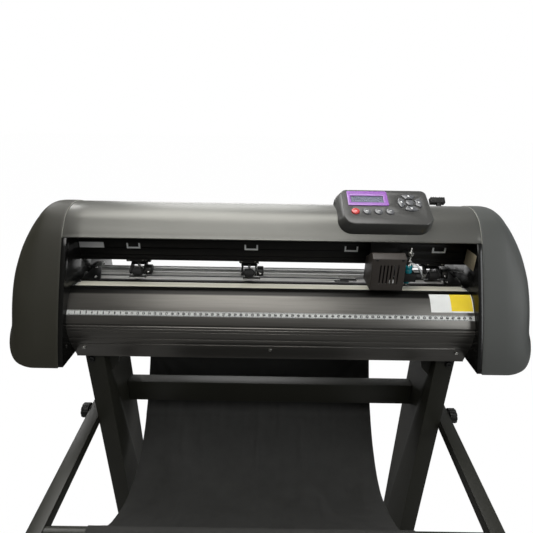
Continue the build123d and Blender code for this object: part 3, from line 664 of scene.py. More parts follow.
def offset(points, distance, closed=False):
    """outline moved to the right of its direction of travel"""
    moved, n = [], len(points)
    for i, point in enumerate(points):
        normals = []
        if i > 0 or closed:
            normals.append(right_normal(points[i - 1], point))
        if i < n - 1 or closed:
            normals.append(right_normal(point, points[(i + 1) % n]))
        nx, ny = normals[0]
        stretch = 1.0
        if len(normals) == 2:
            nx, ny = nx + normals[1][0], ny + normals[1][1]
            length = math.hypot(nx, ny)
            nx, ny = nx / length, ny / length
            stretch = 1.0 / max(0.3, nx * normals[0][0] + ny * normals[0][1])
        moved.append((point[0] + nx * distance * stretch, point[1] + ny * distance * stretch))
    return moved


def path_lengths(points):
    """distance along the path at each point"""
    lengths = [0.0]
    for a, b in zip(points, points[1:]):
        lengths.append(lengths[-1] + math.hypot(b[0] - a[0], b[1] - a[1]))
    return lengths


def between(a, b, t):
    return a[0] + (b[0] - a[0]) * t, a[1] + (b[1] - a[1]) * t


def arc(cx, cy, radius, degrees):
    return [(cx + radius * math.cos(math.radians(a)), cy + radius * math.sin(math.radians(a)))
            for a in degrees]


def round_rect(rect, inset, radius):
    """outline of the rectangle (u0, u1, w0, w1) drawn in by inset, with round corners"""
    u0, u1, w0, w1 = rect[0] + inset, rect[1] - inset, rect[2] + inset, rect[3] - inset
    outline = []
    for cu, cw, start in ((u1 - radius, w1 - radius, 0), (u0 + radius, w1 - radius, 90),
                          (u0 + radius, w0 + radius, 180), (u1 - radius, w0 + radius, 270)):
        outline += arc(cu, cw, radius, [start + 90.0 * k / 8 for k in range(9)])
    return outline


def hexagon(across_flats, turn=0.0):
    r = across_flats / math.sqrt(3)
    angles = [math.pi / 3 * k + turn for k in range(6)]
    return [(r * math.cos(a), r * math.sin(a)) for a in angles]


def monotone(table, column, x):
    """monotone cubic interpolation of a column over the table's first column"""
    xs = [row[0] for row in table]
    ys = [row[column] for row in table]
    n = len(xs)
    if x <= xs[0]:
        return ys[0]
    if x >= xs[-1]:
        return ys[-1]
    h = [xs[i + 1] - xs[i] for i in range(n - 1)]
    d = [(ys[i + 1] - ys[i]) / h[i] for i in range(n - 1)]
    slopes = [d[0]]
    for before, after in zip(d, d[1:]):
        turning = before * after <= 0
        slopes.append(0 if turning else 2 * before * after / (before + after))
    slopes.append(d[-1])
    i = max(k for k in range(n - 1) if xs[k] <= x)
    t = (x - xs[i]) / h[i]
    return (ys[i] * (2 * t ** 3 - 3 * t * t + 1)
            + h[i] * slopes[i] * (t ** 3 - 2 * t * t + t)
            + ys[i + 1] * (-2 * t ** 3 + 3 * t * t)
            + h[i] * slopes[i + 1] * (t ** 3 - t * t))


# ---------------------------------------------------------------- small parts
def cross_screw(shape, origin, direction, radius, height, turn, skin=0):
    """pan head with a cross recess, turned by turn radians"""
    steps, rings = 48, 16
    recess = height * 0.55
    verts, faces = [(0, 0, height - recess)], []
    cos_turn, sin_turn = math.cos(turn), math.sin(turn)
    for i in range(1, rings + 1):
        r = radius * i / rings
        dome = height * math.sqrt(max(0.0, 1 - (r / radius) ** 2.6))
        for k in range(steps):
            angle = 2 * math.pi * k / steps
            x, y = r * math.cos(angle), r * math.sin(angle)
            u, w = abs(x * cos_turn + y * sin_turn), abs(-x * sin_turn + y * cos_turn)
            in_width = 1 - min(1, max(0, (min(u, w) - radius * 0.09) / (radius * 0.05)))
            in_length = 1 - min(1, max(0, (max(u, w) - radius * 0.50) / (radius * 0.12)))
            verts.append((x, y, dome - recess * in_width * in_length))
    for k in range(steps):
        faces.append((0, 1 + k, 1 + (k + 1) % steps))
    for i in range(rings - 1):
        for k in range(steps):
            a, b = 1 + i * steps + k, 1 + i * steps + (k + 1) % steps
            faces.append((a, a + steps, b + steps, b))
    shape.add(verts, faces, skin, facing(origin, direction))


def hex_bolt(shape, origin, direction, across_flats, height, washer):
    place = facing(origin, direction)
    r = across_flats / math.sqrt(3)
    top = washer + height
    shape.prism(hexagon(across_flats), washer, washer + height * 0.86, 0, place)
    shape.lathe([(r * 0.98, washer + height * 0.80), (r * 0.86, top), (0, top)],
                24, place=place)
    rim = across_flats * 0.95
    shape.lathe([(0, 0), (rim, 0), (rim, washer), (0, washer)], 32, place=place)


# ------------------------------------------------------------------ end covers
BODY_DEPTH = 260
COVER_X = 365.0                                   # inner face of the covers
COVER_WALL = 3.0
# side outline of the machine (y, z), from the bottom front over the top to the back
PROFILE = [
    (0, 0), (9.1, 27.2), (19.6, 54.6), (31.4, 82.4), (44.7, 111.7), (60.9, 144.8),
    (76.6, 176.1), (92.8, 205.9), (105.1, 224.1), (121.8, 241.1), (142.0, 250.6),
    (163.0, 253.4), (184.0, 250.7), (206.0, 242.0), (230, 224), (246, 198), (255, 166),
    (258, 130), (259.5, 90), (BODY_DEPTH, 45), (BODY_DEPTH, 0)]
OUTLINE = smooth_curve(PROFILE[:-1], 6) + [PROFILE[-1]]
# how a cover closes: x, drop of the top, inset in y, rise of the bottom
CAP = [
    (COVER_X, 0, 0, 0), (388, 0, 0, 0), (398, 1, 0, 0), (405, 3, 0, 0), (410, 6, 0.2, 0),
    (415, 10, 0.5, 0.4), (420, 16, 1.0, 1.2), (425, 22, 1.7, 2.4), (430, 29, 2.7, 4),
    (435, 37, 4, 6), (440, 46, 6, 9), (445, 58, 9, 14), (450, 76, 14, 22),
    (454, 94, 21, 32), (457, 110, 30, 42), (459, 122, 40, 52), (460.0, 130, 50, 60)]
# inner rim of a cover: x, inset from the outline
RIM = ((365.0, 1.1), (365.12, 0.5), (365.45, 0.15), (366.0, 0.0))
# closing end of a cover: x, inset, which runs on from 50 towards the centre at 130
TIP = ((460.35, 62), (460.58, 78), (460.7, 96), (460.74, 112), (460.75, 129.5))
TIP_CENTRE = (135.0, 92.0)


def cap_ring(points, x, sign, drop, inset, rise):
    power = min(2.2, 180.0 / max(drop, 1.0))      # keeps the section from folding near the end
    ring = []
    for y, z in points:
        if z > 70:
            z2 = z - drop * ((z - 70) / 183.4) ** power
        else:
            z2 = z + rise * ((70 - z) / 70) ** 1.5
        ring.append((sign * x, 135 + (y - 135) * (1 - inset / 130.0), z2))
    return ring


def cap_values(x):
    return [monotone(CAP, column, x) for column in (1, 2, 3)]


def end_cover(side):
    sign = -1 if side == "left" else 1
    bottom = [(BODY_DEPTH - BODY_DEPTH * k / 14, 0.0) for k in range(1, 14)]
    outer = OUTLINE + bottom
    inner = offset(outer, COVER_WALL, True)
    rings = [at_x(sign * x, inner) for x in (367.0, 365.05)]
    rings += [at_x(sign * x, offset(outer, inset, True)) for x, inset in RIM]
    stations = [366.5 + (459.6 - 366.5) * k / 58 for k in range(59)]
    for x in [370, 380, 390] + [x for x in stations if x > 392] + [460.0]:
        rings.append(cap_ring(outer, x, sign, *cap_values(x)))
    cy, cz = TIP_CENTRE
    for x, inset in TIP:
        scale = (130 - inset) / (130 - 50.0)
        rings.append([(p[0], cy + (p[1] - cy) * scale, cz + (p[2] - cz) * scale)
                      for p in cap_ring(outer, x, sign, 130, 50, 60)])
    inside = [cap_ring(inner, x, sign, *cap_values(x + COVER_WALL))
              for x in (367.0, 380, 395, 405, 415, 425, 435, 445, 452, 456.5)]
    shape = Shape()
    for skin in (rings, inside):
        shape.loft([ring[::sign] for ring in skin], cap_start=False)
    # the left cover wears the painted-shade copy of the plastic, the right cover the painted-light copy
    obj = shape.make("end_cover_%s_fin" % side, "cover_l" if sign < 0 else "cover_r",
                     smooth=40.0)
    if side == "right":                           # rectangular opening at the back
        opening = Shape()
        opening.box(405.8, 427.2, 246, 268, 35.8, 64.2)
        cut_away(obj, opening)
        smooth_by_angle(obj, 40.0)
    attach(obj, "frame", "end_cover_" + side)


end_cover("left")
end_cover("right")


# ------------------------------------------------------------------------ hood
HOOD_X = 364.9                                    # half length of the sheet
HOOD_LIP_X = 356.7                                # half length of its inner lips
HOOD_FRONT_Z, HOOD_BACK_Z = 205.9, 150.0


def outline_index(height, in_front):
    """outline point nearest a height, in front of or behind y 150"""
    def miss(i):
        y, z = OUTLINE[i]
        wrong_side = y > 150 if in_front else y < 150
        return abs(z - height) + (100 if wrong_side else 0)
    return min(range(len(OUTLINE)), key=miss)


HOOD_SPAN = slice(outline_index(HOOD_FRONT_Z, True), outline_index(HOOD_BACK_Z, False) + 1)


def hood_line(inset):
    return offset(OUTLINE, inset, True)[HOOD_SPAN]


def make_hood():
    outer, inner = hood_line(1.2), hood_line(3.4)
    front_y, front_z = outer[0]
    back_y, back_z = outer[-1]
    hem = []                                      # folded front edge, a quarter round
    for degrees in (0, 22, 45, 68, 90):
        a = math.radians(degrees)
        hem.append((front_y + 2.3 - 2.3 * math.cos(a), front_z + 2.3 - 2.3 * math.sin(a) - 0.6))
    outside = hem[::-1] + [p for p in outer if p[1] > front_z + 2.0 or p[0] > 150]
    inside = [(hem[-1][0], hem[-1][1] + 2.0)]
    inside += [p for p in inner if p[1] > front_z + 2.4 or p[0] > 150]
    section = outside + inside[::-1]
    # short spans keep the cut for the lever slot local
    stations = [-HOOD_X, -330.0, -110.0, 110.0, 330.0, 338.5, 355.5, HOOD_X]
    shape = Shape()
    shape.loft([at_x(x, section) for x in stations], cap_start=False, cap_end=False)
    n_out, n_in = len(outside), len(inside)

    def matching(k):
        return n_out + min(n_in - 1, max(0, round(k * (n_in - 1) / (n_out - 1))))

    for x in (-HOOD_X, HOOD_X):                   # sheet ends, quads from outside to inside
        faces = []
        for k in range(n_out - 1):
            a, b = matching(k), matching(k + 1)
            faces.append((k, k + 1, b) if a == b else (k, k + 1, b, a))
        shape.add(at_x(x, outside) + at_x(x, inside), faces)
    shape.box(-HOOD_LIP_X, HOOD_LIP_X, front_y + 1.9, front_y + 10.5,
              front_z - 0.55, front_z + 1.4)
    shape.box(-HOOD_LIP_X, HOOD_LIP_X, back_y - 9.0, back_y - 1.2, back_z, back_z + 2.2)
    hood = shape.make("hood_fin", "hood", smooth=38.0, bevel=0.0003, bevel_angle=60)
    slot = Shape()
    slot.box(341, 353, 222, 262, 154.6, 227)
    cut_away(hood, slot)
    smooth_by_angle(hood, 38)
    attach(hood, "frame", "hood")


make_hood()

shape = Shape()                                   # pale line in the joint of hood and covers, a painted highlight of the covers' rounded rim
for sign in SIDES:
    shape.tube(at_x(sign * COVER_X, hood_line(0.75)), 0.5, 8)
shape.make("seam_highlight_lines", "bead", "frame", smooth=60)


# ----------------------------------------------------------------- front apron
APRON_X = 356.8                                   # half length
# upper face of the apron (y, z), running down and forwards
APRON = smooth_curve([(84.2, 117.2), (75.5, 115.6), (66, 109.5), (55.5, 98.0), (45, 84),
                      (39.8, 75), (36.6, 67.6)], 8)


def grooved(start, end, places, width, depth):
    """grooves across a line, at shares of its length"""
    length = math.hypot(end[0] - start[0], end[1] - start[1])
    ty, tz = (end[0] - start[0]) / length, (end[1] - start[1]) / length
    points = []
    for share in places:
        for along, into in ((-width / 2, 0), (-width / 4, depth),
                            (width / 4, depth), (width / 2, 0)):
            s = share * length + along
            points.append((start[0] + ty * s - into * tz, start[1] + tz * s + into * ty))
    return points


lower_front = [(36.6, 67.2), (38.2, 66.8), (38.2, 64.5), (36.2, 64.2), (35.3, 63.4),
               (35.0, 62.0), (34.9, 60.6), (35.6, 60.2), (35.6, 59.4), (34.7, 59.0)]
lower_front += grooved((34.6, 57), (34.4, 46), (0.3,), 0.9, 0.5) + [(34.4, 46)]
lower_front += grooved((34.4, 46), (35.8, 32), (0.48,), 1.2, 0.8)
lower_front += [(35.6, 33.5), (36.3, 31.0)]
lower_front += grooved((36.3, 31.0), (43.0, 12.4), (0.22, 0.30), 0.9, 0.6)
lower_front += [(43.2, 12), (44.4, 9.0), (50.0, -6.0), (50.2, -7.2), (50.2, -9.4), (50.6, -9.8)]
lower_back = [(40.8, 67.4), (40.8, 63.4), (38.2, 62.2), (37.4, 46), (38.8, 32.8),
              (46.0, 12.9), (52.3, -4.0), (52.3, -9.8)]
apron_back = offset(APRON, -2.8)[:-2] + lower_back
shape = Shape()
shape.prism_x(APRON[:-1] + lower_front + apron_back[::-1], -APRON_X, APRON_X)
shape.make("front_apron_fin", "apron", "frame", "front_apron",
           bevel=0.0002, bevel_angle=30, smooth=24)


# ----------------------------------------------------------------- ruler strip
def nearest_on_apron(y, z):
    return min(range(len(APRON)), key=lambda i: math.hypot(APRON[i][0] - y, APRON[i][1] - z))


RULER_X = 356                                     # half length
RULER_ZERO_X = -352.0
RULER_PATH = APRON[nearest_on_apron(48.6, 88.6) - 1:nearest_on_apron(42.7, 80.0) + 2]
RULER_LENGTHS = path_lengths(RULER_PATH)
RULER_WIDTH = RULER_LENGTHS[-2] - RULER_LENGTHS[1]
RULER_TOP, RULER_BOTTOM = 0.8, RULER_WIDTH - 0.9  # edges, measured down the apron


def ruler_point(down, above):
    """(y, z) at a distance down the strip and a height above the apron"""
    s = down + RULER_LENGTHS[1] - 0.1
    k = max(i for i in range(len(RULER_LENGTHS) - 1) if RULER_LENGTHS[i] <= s or i == 0)
    t = (s - RULER_LENGTHS[k]) / (RULER_LENGTHS[k + 1] - RULER_LENGTHS[k])
    a, b = RULER_PATH[k], RULER_PATH[k + 1]
    ny, nz = right_normal(a, b)
    y, z = between(a, b, t)
    return y + ny * above, z + nz * above


def ruler_tick(shape, x, width, top, bottom):
    x0, x1 = x - width / 2, x + width / 2
    verts = [(tx, *ruler_point(down, above)) for above in (0.40, 0.50)
             for tx, down in ((x0, top), (x1, top), (x1, bottom), (x0, bottom))]
    shape.add(verts, [(0, 1, 2, 3), (7, 6, 5, 4), (0, 4, 5, 1),
                      (1, 5, 6, 2), (2, 6, 7, 3), (3, 7, 4, 0)])


def text_mesh(text, size):
    """vertices and faces of a centred text"""
    curve = bpy.data.curves.new("text", "FONT")
    curve.body = text
    curve.size = size
    curve.align_x = "CENTER"
    curve.align_y = "CENTER"
    curve.resolution_u = 2
    curve.offset = 0.055 * size
    obj = bpy.data.objects.new("text", curve)
    SCENE.collection.objects.link(obj)
    graph = bpy.context.evaluated_depsgraph_get()
    mesh = bpy.data.meshes.new_from_object(obj.evaluated_get(graph))
    verts = [tuple(v.co) for v in mesh.vertices]
    faces = [tuple(p.vertices) for p in mesh.polygons]
    bpy.data.objects.remove(obj)
    bpy.data.curves.remove(curve)
    bpy.data.meshes.remove(mesh)
    return verts, faces


downs = [RULER_TOP + (RULER_BOTTOM - RULER_TOP) * k / 8 for k in range(9)]
shape = Shape()
shape.prism_x([ruler_point(s, 0.02) for s in downs]
              + [ruler_point(s, 0.42) for s in downs[::-1]], -RULER_X, RULER_X)
shape.make("ruler_strip_fin", "ruler", "frame", "ruler_strip",
           bevel=0.00012, bevel_angle=50, smooth=40)

shape = Shape()                                   # millimetre scale along both edges
for k in range(705):
    length, width = (2.6, 0.66) if k % 10 == 0 else (2.1, 0.56) if k % 5 == 0 else (1.6, 0.46)
    x = RULER_ZERO_X + k
    ruler_tick(shape, x, width, RULER_BOTTOM - length - 0.1, RULER_BOTTOM - 0.1)
    ruler_tick(shape, x, width, RULER_TOP + 0.1, RULER_TOP + 0.1 + length)
shape.make("ruler_ticks", "ink", "frame", smooth=30)

shape = Shape()                                   # centimetre numbers
for k in range(1, 71):
    verts, faces = text_mesh(str(k), 5.0)
    shape.add([(RULER_ZERO_X + 10 * k + v[0] * 1.1,
                *ruler_point(RULER_WIDTH * 0.5 - v[1], 0.46)) for v in verts], faces)
numbers = shape.make("ruler_digits", "ink")
thicken(numbers, 0.00006)
attach(numbers, "frame")


# ----------------------------------------------------------------- control pod
# On the pod's face u runs along X, w up the slope and h away from the face.
POD = Matrix.Translation((200, 127, 258.9)) @ Matrix.Rotation(math.radians(29.1), 4, "X")
BEZEL = (-65.7, 6.6, 4.4, 41.3)                   # u0, u1, w0, w1
WINDOW = (-59.6, -1.4, 12.0, 29.2)
SURROUND = (-59.9, -1.1, 11.7, 29.5)
SCREEN = (-58.9, -2.1, 12.5, 28.3)
ROUND_KEYS = {"start": -54.7, "menu": -34.4, "test": -14.2, "pause": 6.0}     # u
ROUND_KEYS_W = -10.2
KEY_RADIUS = 7.1
PAD = (44.4, 12.8)                                # centre of the arrow keys
PAD_INNER, PAD_OUTER, PAD_HALF_ANGLE = 10.3, 21.2, 35.2
ARROWS = {"right": 0, "up": 90, "left": 180, "down": 270}

refine("pod_housing", "pod", 0.0016, 4, planar=0.3, bevel_angle=22, smooth=42)

rings = []                                        # bezel: rounded outside, chamfered window
for h, inset in ((0.03, 0.0), (1.15, 0.0), (1.32, 0.08), (1.4, 0.28)):
    rings.append(at_height(round_rect(BEZEL, inset, 2.0 - inset), h))
for h, inset in ((1.4, -0.9), (1.25, -0.35), (0.9, 0.0), (0.03, 0.0)):
    rings.append(at_height(round_rect(WINDOW, inset, 0.7 - inset * 0.6), h))
rings.append(rings[0])
shape = Shape()
shape.loft(rings, POD, cap_start=False, cap_end=False)
shape.make("lcd_bezel_fin", "purple", "frame", "lcd_bezel", smooth=30)

shape = Shape()                                   # dark surround of the display
outline = round_rect(SURROUND, 0, 0.8)
shape.loft([at_height(outline, h) for h in (-0.5, 0.02)], POD)
shape.make("lcd_surround", "black", "frame", smooth=30)

shape = Shape()                                   # display glass
outline = round_rect(SCREEN, 0, 0.5)
shape.loft([at_height(outline, h) for h in (-0.4, 0.12)]
           + [[(u * 0.999, w * 0.999, 0.16) for u, w in outline]], POD)
shape.make("lcd_screen_fin", "lcd", "frame", "lcd_screen", smooth=30)

shape = Shape()                                   # blank character cells
for row in range(2):
    for column in range(16):
        u = -56.0 + column * 3.3
        w = 13.8 + row * 6.6
        shape.box(u, u + 2.7, w, w + 5.4, 0.15, 0.19, place=POD)
shape.make("lcd_cells", "lcd_cell", "frame")


def round_key(name, u, w, material, slot):
    """straight side, rounded shoulder and a crowned top"""
    angles = [2 * math.pi * k / 48 for k in range(48)]
    outline = [(u + KEY_RADIUS * math.cos(a), w + KEY_RADIUS * math.sin(a)) for a in angles]
    section = ((-3.3, 0.0), (0.9, 0.0), (1.35, 0.22), (1.75, 0.65), (2.05, 1.2),
               (2.3, 2.0), (2.48, 3.2), (2.58, 4.4))                          # h, inset
    shape = Shape()
    shape.loft([at_height(offset(outline, -inset, True), h) for h, inset in section], POD)
    shape.make(name + "_key_fin", material, name + "_button", name + "_key", smooth=60)


def arrow_outline(middle):
    """ring segment about the pad centre, with its corners rounded"""
    half = PAD_HALF_ANGLE
    raw = arc(*PAD, PAD_OUTER, [middle - half + 2 * half * k / 16 for k in range(17)])
    raw += arc(*PAD, PAD_INNER, [middle + half - 2 * half * k / 8 for k in range(9)])
    outline = []
    for i in range(len(raw)):
        before, corner, after = Vector(raw[i - 1]), Vector(raw[i]), Vector(raw[(i + 1) % len(raw)])
        back, ahead = before - corner, after - corner
        if back.angle(ahead) >= math.radians(150):
            outline.append((corner.x, corner.y))
            continue
        reach = min(2.4, min(back.length, ahead.length) * 0.9)
        p, q = corner + back.normalized() * reach, corner + ahead.normalized() * reach
        for s in (0.0, 0.25, 0.5, 0.75, 1.0):
            point = p * (1 - s) ** 2 + corner * 2 * s * (1 - s) + q * s * s
            outline.append((point.x, point.y))
    return outline


def arrow_key(name, middle):
    outline = arrow_outline(middle)
    ux, uy = math.cos(math.radians(middle)), math.sin(math.radians(middle))
    cu, cw = PAD[0] + 15.6 * ux, PAD[1] + 15.6 * uy
    section = ((-3.3, 1.0), (0.8, 1.0), (1.3, 0.975), (1.75, 0.92), (2.05, 0.84),
               (2.3, 0.72), (2.5, 0.52), (2.58, 0.25))                        # h, scale
    shape = Shape()
    shape.loft([[(cu + (u - cu) * scale, cw + (w - cw) * scale, h) for u, w in outline]
                for h, scale in section], POD)
    shape.make(name + "_key_fin", "key", name + "_button", name + "_key", smooth=60)
    pointer = Shape()                             # triangle printed on the key
    pointer.prism([(cu + ux * 2.6, cw + uy * 2.6),
                   (cu - ux * 1.4 - uy * 2.6, cw - uy * 1.4 + ux * 2.6),
                   (cu - ux * 1.4 + uy * 2.6, cw - uy * 1.4 - ux * 2.6)], 2.35, 2.66, 0, POD)
    pointer.make(name + "_pointer", "white", name + "_button", bevel=0.00008)


for name, u in ROUND_KEYS.items():
    material, slot = ("red", "key_red") if name == "start" else ("key", "key_grey")
    round_key(name, u, ROUND_KEYS_W, material, slot)
round_key("enter", *PAD, "key", "key_grey")
for name, middle in ARROWS.items():
    arrow_key(name, middle)
for name, u in ROUND_KEYS.items():                # short bar printed on each round key
    shape = Shape()
    shape.box(u - 2.2, u + 2.2, -10.6, -9.8, 2.50, 2.64, place=POD)
    shape.make(name + "_bar", "white", name + "_button", bevel=0.00005)


# -------------------------------------------------------------------- carriage
CARRIAGE_X0, CARRIAGE_X1 = 173.0, 231.0
CARRIAGE_WALL = 2.0


def carriage_cover():
    shape = Shape()
    shape.prism_x([(70, 124.5), (70, 184), (81, 190.5), (84, 190.5), (121, 169.2),
                   (121, 124.5)], CARRIAGE_X0, CARRIAGE_X1)
    cover = shape.make("carriage_cover_fin", "carriage", bevel=0.0013, steps=4,
                       bevel_angle=20, smooth=40)
    hollow = Shape()
    hollow.prism_x([(72, 123.5), (72, 183), (81.6, 188.5), (83.5, 188.5), (122, 166.3),
                    (122, 123.5)], CARRIAGE_X0 + CARRIAGE_WALL, CARRIAGE_X1 - CARRIAGE_WALL)
    cut_away(cover, hollow)
    back_opening = Shape()
    back_opening.box(177.4, 226.6, 109.9, 122, 160, 200)
    cut_away(cover, back_opening)
    openings = Shape()
    openings.box(228, 232, 109.9, 122, 126.4, 131.6)
    for k in range(6):                            # six upright vents with rounded ends
        x = 188.3 + k * 6.1
        vent = arc(x, 171.3, 1.3, range(0, 181, 20)) + arc(x, 137.7, 1.3, range(180, 361, 20))
        openings.prism(vent, 69, 73, 0, XZ_ALONG_Y)
    cut_away(cover, openings)
    smooth_by_angle(cover, 38)
    attach(cover, "carriage", "carriage_cover")


refine("carriage_block", "black")
carriage_cover()
shape = Shape()
for x in (181.0, 225.0):
    cross_screw(shape, (x, 70.0, 182.0), (0, -1, 0), 2.3, 1.1, turn=0.4)
shape.make("carriage_cover_screws", "black", "carriage", smooth=50)
refine("tool_clamp", "black")
refine("blade_tip", "steel", 0.0, smooth=40)

TOOL_Y = 92.0
HOLDER = Matrix.Translation((244.0, TOOL_Y, 0))
# knife holder, (radius, z): barrel, knurled collar and the head above it
BARREL = [(0, 129.0), (3.4, 129.0), (4.7, 130.2), (5.0, 131.2), (5.0, 137.0), (4.7, 137.4),
          (4.7, 138.2), (5.0, 138.6), (5.0, 151.0), (5.6, 151.2), (0, 151.4)]
COLLAR = [(0, 150.6), (6.0, 150.6), (6.6, 151.2), (6.6, 156.2)]
HEAD = [(6.6, 156.2), (6.1, 156.8), (6.1, 157.6), (6.6, 158.2), (6.6, 162.8), (5.9, 163.6),
        (3.0, 164.2), (0, 164.2)]
shape = Shape()
shape.lathe(BARREL, 48, place=HOLDER)
shape.lathe(COLLAR, 72, place=HOLDER,
            swell=lambda a, h: 1.0 - 0.06 * (0.5 + 0.5 * math.cos(24 * a)))
shape.lathe(HEAD, 72, place=HOLDER)
shape.make("blade_holder_fin", "teal", "tool", "blade_holder", smooth=38)

shape = Shape()                                   # threaded adjuster with two hexagon nuts
thread = [(0, 164.0)]
z = 164.0
while z < 196.2:
    thread += [(1.5, z), (1.85, z + 0.25), (1.85, z + 0.4), (1.5, z + 0.65)]
    z += 0.7
thread += [(1.5, 196.6), (1.2, 197.4), (0, 197.5)]
shape.lathe(thread, 24, place=HOLDER)
for z0, z1, across_flats in ((168.0, 174.0, 7.6), (183.5, 189.5, 10.0)):
    narrow, wide = across_flats * 0.46, across_flats * 0.52
    shape.prism(hexagon(across_flats, 0.3), z0 + 0.5, z1 - 0.5, 0, HOLDER)
    shape.lathe([(0, z0), (narrow, z0), (wide, z0 + 0.5), (0, z0 + 0.5)], 36, place=HOLDER)
    shape.lathe([(0, z1 - 0.5), (wide, z1 - 0.5), (narrow, z1), (0, z1)], 36, place=HOLDER)
shape.lathe([(0, 164.0), (4.2, 164.0), (4.2, 165.0), (3.6, 165.4), (2.6, 168.0), (0, 168.0)],
            36, place=HOLDER)
shape.make("blade_adjuster", "chrome", "tool",
           bevel=0.00012, bevel_angle=50, smooth=35)


def tool_lever():
    """white lever curving down beside the holder, tapering to its end"""
    path = smooth_curve([(249.5, 163.4), (254, 164.0), (259, 162.2), (263.5, 158.0),
                         (266.2, 152.6), (268.0, 147.6), (268.6, 144.0)], 6)   # x, z
    last = len(path) - 1

    def squared(value):
        return math.copysign(abs(value) ** 0.5, value)

    rings = []
    for i, (x, z) in enumerate(path):
        t = i / last
        before, after = path[max(i - 1, 0)], path[min(i + 1, last)]
        dx, dz = after[0] - before[0], after[1] - before[1]
        length = math.hypot(dx, dz)
        nx, nz = -dz / length, dx / length
        half_width = 7.5 * (1 - t) ** 0.8 + 2.0
        half_thick = 1.1 + 0.9 * (1 - t)
        ring = []
        for k in range(16):
            angle = 2 * math.pi * k / 16
            across, up = squared(math.cos(angle)), squared(math.sin(angle))
            ring.append((x + nx * half_thick * up, 93.0 + half_width * across,
                         z + nz * half_thick * up))
        rings.append(ring)
    shape = Shape()
    shape.loft(rings)
    shape.make("tool_lever_white", "white", "tool", smooth=50)


def knob_knurl(angle, x):
    ridges = 0.07 * (0.5 + 0.5 * math.cos(16 * angle))
    return 1.0 - (ridges if 259.3 < x < 267.0 else 0.0)


tool_lever()
refine("clamp_knob", "black", 0.0002)
shape = Shape()
shape.lathe([(0, 258.4), (5.2, 258.4), (6.3, 259.0), (6.5, 259.6), (6.5, 266.6), (6.2, 267.4),
             (5.2, 268.0), (2.6, 268.0), (2.4, 267.4), (0, 267.4)],
            96, place=along_x(0, TOOL_Y, 143), swell=knob_knurl)
shape.make("clamp_knob_grip", "black", "clamp_screw", smooth=45)


# ------------------------------------------------------------- beam and platen
DECK_X = 355.5                                    # half length of the black lines painted as shade on the deck
DECK_Z = 116.02                                   # underside of the parts laid on the deck
GUIDE_X = 356.4                                   # outer edge of the paper guides

refine("gantry_beam", "beam", 0.0003)
refine("guide_rail", "steel", 0.0002)
refine("position_marks", "white", 0.0001)
refine("side_plates", "side_black", 0.0005, bevel_angle=40)
refine("base_pan", "dark_sheet", 0.0, planar=0.0)
refine("platen_deck", "platen", 0.0002)

shape = Shape()                                   # black lines along the deck: painted shade for its grooves and the gap before the strip
shape.box(-DECK_X, DECK_X, 111.85, 112.0, 110.1, 116.05)
shape.box(-DECK_X, DECK_X, 112.0, 120.2, DECK_Z, 116.14)
drum_gaps = [x + dx for x in DRUM_X for dx in (-15.6, 15.6)]
line_ends = [-DECK_X] + drum_gaps + [DECK_X]
for x0, x1 in zip(line_ends[::2], line_ends[1::2]):
    shape.box(x0, x1, 134.2, 140.3, DECK_Z, 116.14)
shape.box(-DECK_X, DECK_X, 168.9, 171.3, DECK_Z, 116.12)
shape.box(-DECK_X, DECK_X, 151.6, 152.5, DECK_Z, 116.12)
shape.box(-DECK_X, DECK_X, 84.9, 85.15, 116.0, 117.9)
shape.make("platen_shade_lines", "black", "frame", bevel=0.00005)

shape = Shape()                                   # black ring round the media sensor slot
outside = round_rect((119.2, 147.8, 121.4, 128.6), 0, 3.5)
inside = round_rect((121.4, 145.6, 123.6, 126.4), 0, 1.3)
shape.loft([at_height(outside, DECK_Z), at_height(outside, 116.5), at_height(inside, 116.5),
            at_height(inside, DECK_Z), at_height(outside, DECK_Z)],
           cap_start=False, cap_end=False)
shape.make("sensor_ring", "black", "frame", smooth=30)
refine("cutting_strip", "strip", 0.0003)


def paper_guide(name, sign, inner_x):
    """black side plate on the deck with a pale ledge behind it"""
    edge = sign * GUIDE_X
    shape = Shape()
    shape.prism([(edge, 112.6), (sign * inner_x, 112.6), (sign * (inner_x + 1.5), 122),
                 (sign * (inner_x + 22), 176.6), (edge, 176.6)], 116.05, 118.2)
    for x, y, turn in ((333.0, 122.5, 0.2 * sign), (350.0, 166.0, 0.9)):
        cross_screw(shape, (sign * x, y, 118.2), (0, 0, 1), 3.0, 1.2, turn, skin=1)
    ledge = sign * (inner_x + 26)
    shape.prism([(sign * (inner_x + 22.4), 177.2), (edge, 177.2), (edge, 200.0),
                 (ledge, 200.0)], 116.05, 118.5, 2)
    shape.box(min(ledge, edge), max(ledge, edge), 198.8, 200.0, 104.0, 116.2, 2)
    shape.make(name, ["black", "chrome", "ledge"], "frame", bevel=0.0003)


paper_guide("paper_guide_left", -1, 321.0)
paper_guide("paper_guide_right", 1, 324.0)


# ----------------------------------------------------------------------- drive
def grit_points():
    """small three-sided points raised on the drums"""
    jitter = random.Random(4)
    radius, half_width, half_base, height = 9.48, 13.6, 0.22, 0.17
    shape = Shape()
    for drum_x in DRUM_X:
        for i in range(22):
            for k in range(44):
                x = drum_x - half_width + 2 * half_width * (i + 0.5 * (k % 2)) / 22
                a = 2 * math.pi * (k + jitter.uniform(-0.2, 0.2)) / 44
                out = Vector((0, math.cos(a), math.sin(a)))
                around = Vector((0, -out.z, out.y)) * half_base
                along = Vector((half_base, 0, 0))
                p = Vector((x, DRUM_Y + radius * math.cos(a), DRUM_Z + radius * math.sin(a)))
                shape.add([p + around, p - around + along, p - around - along,
                           p + out * height], [(0, 1, 3), (1, 2, 3), (2, 0, 3)])
    shape.make("grit_points", "steel", "grit")


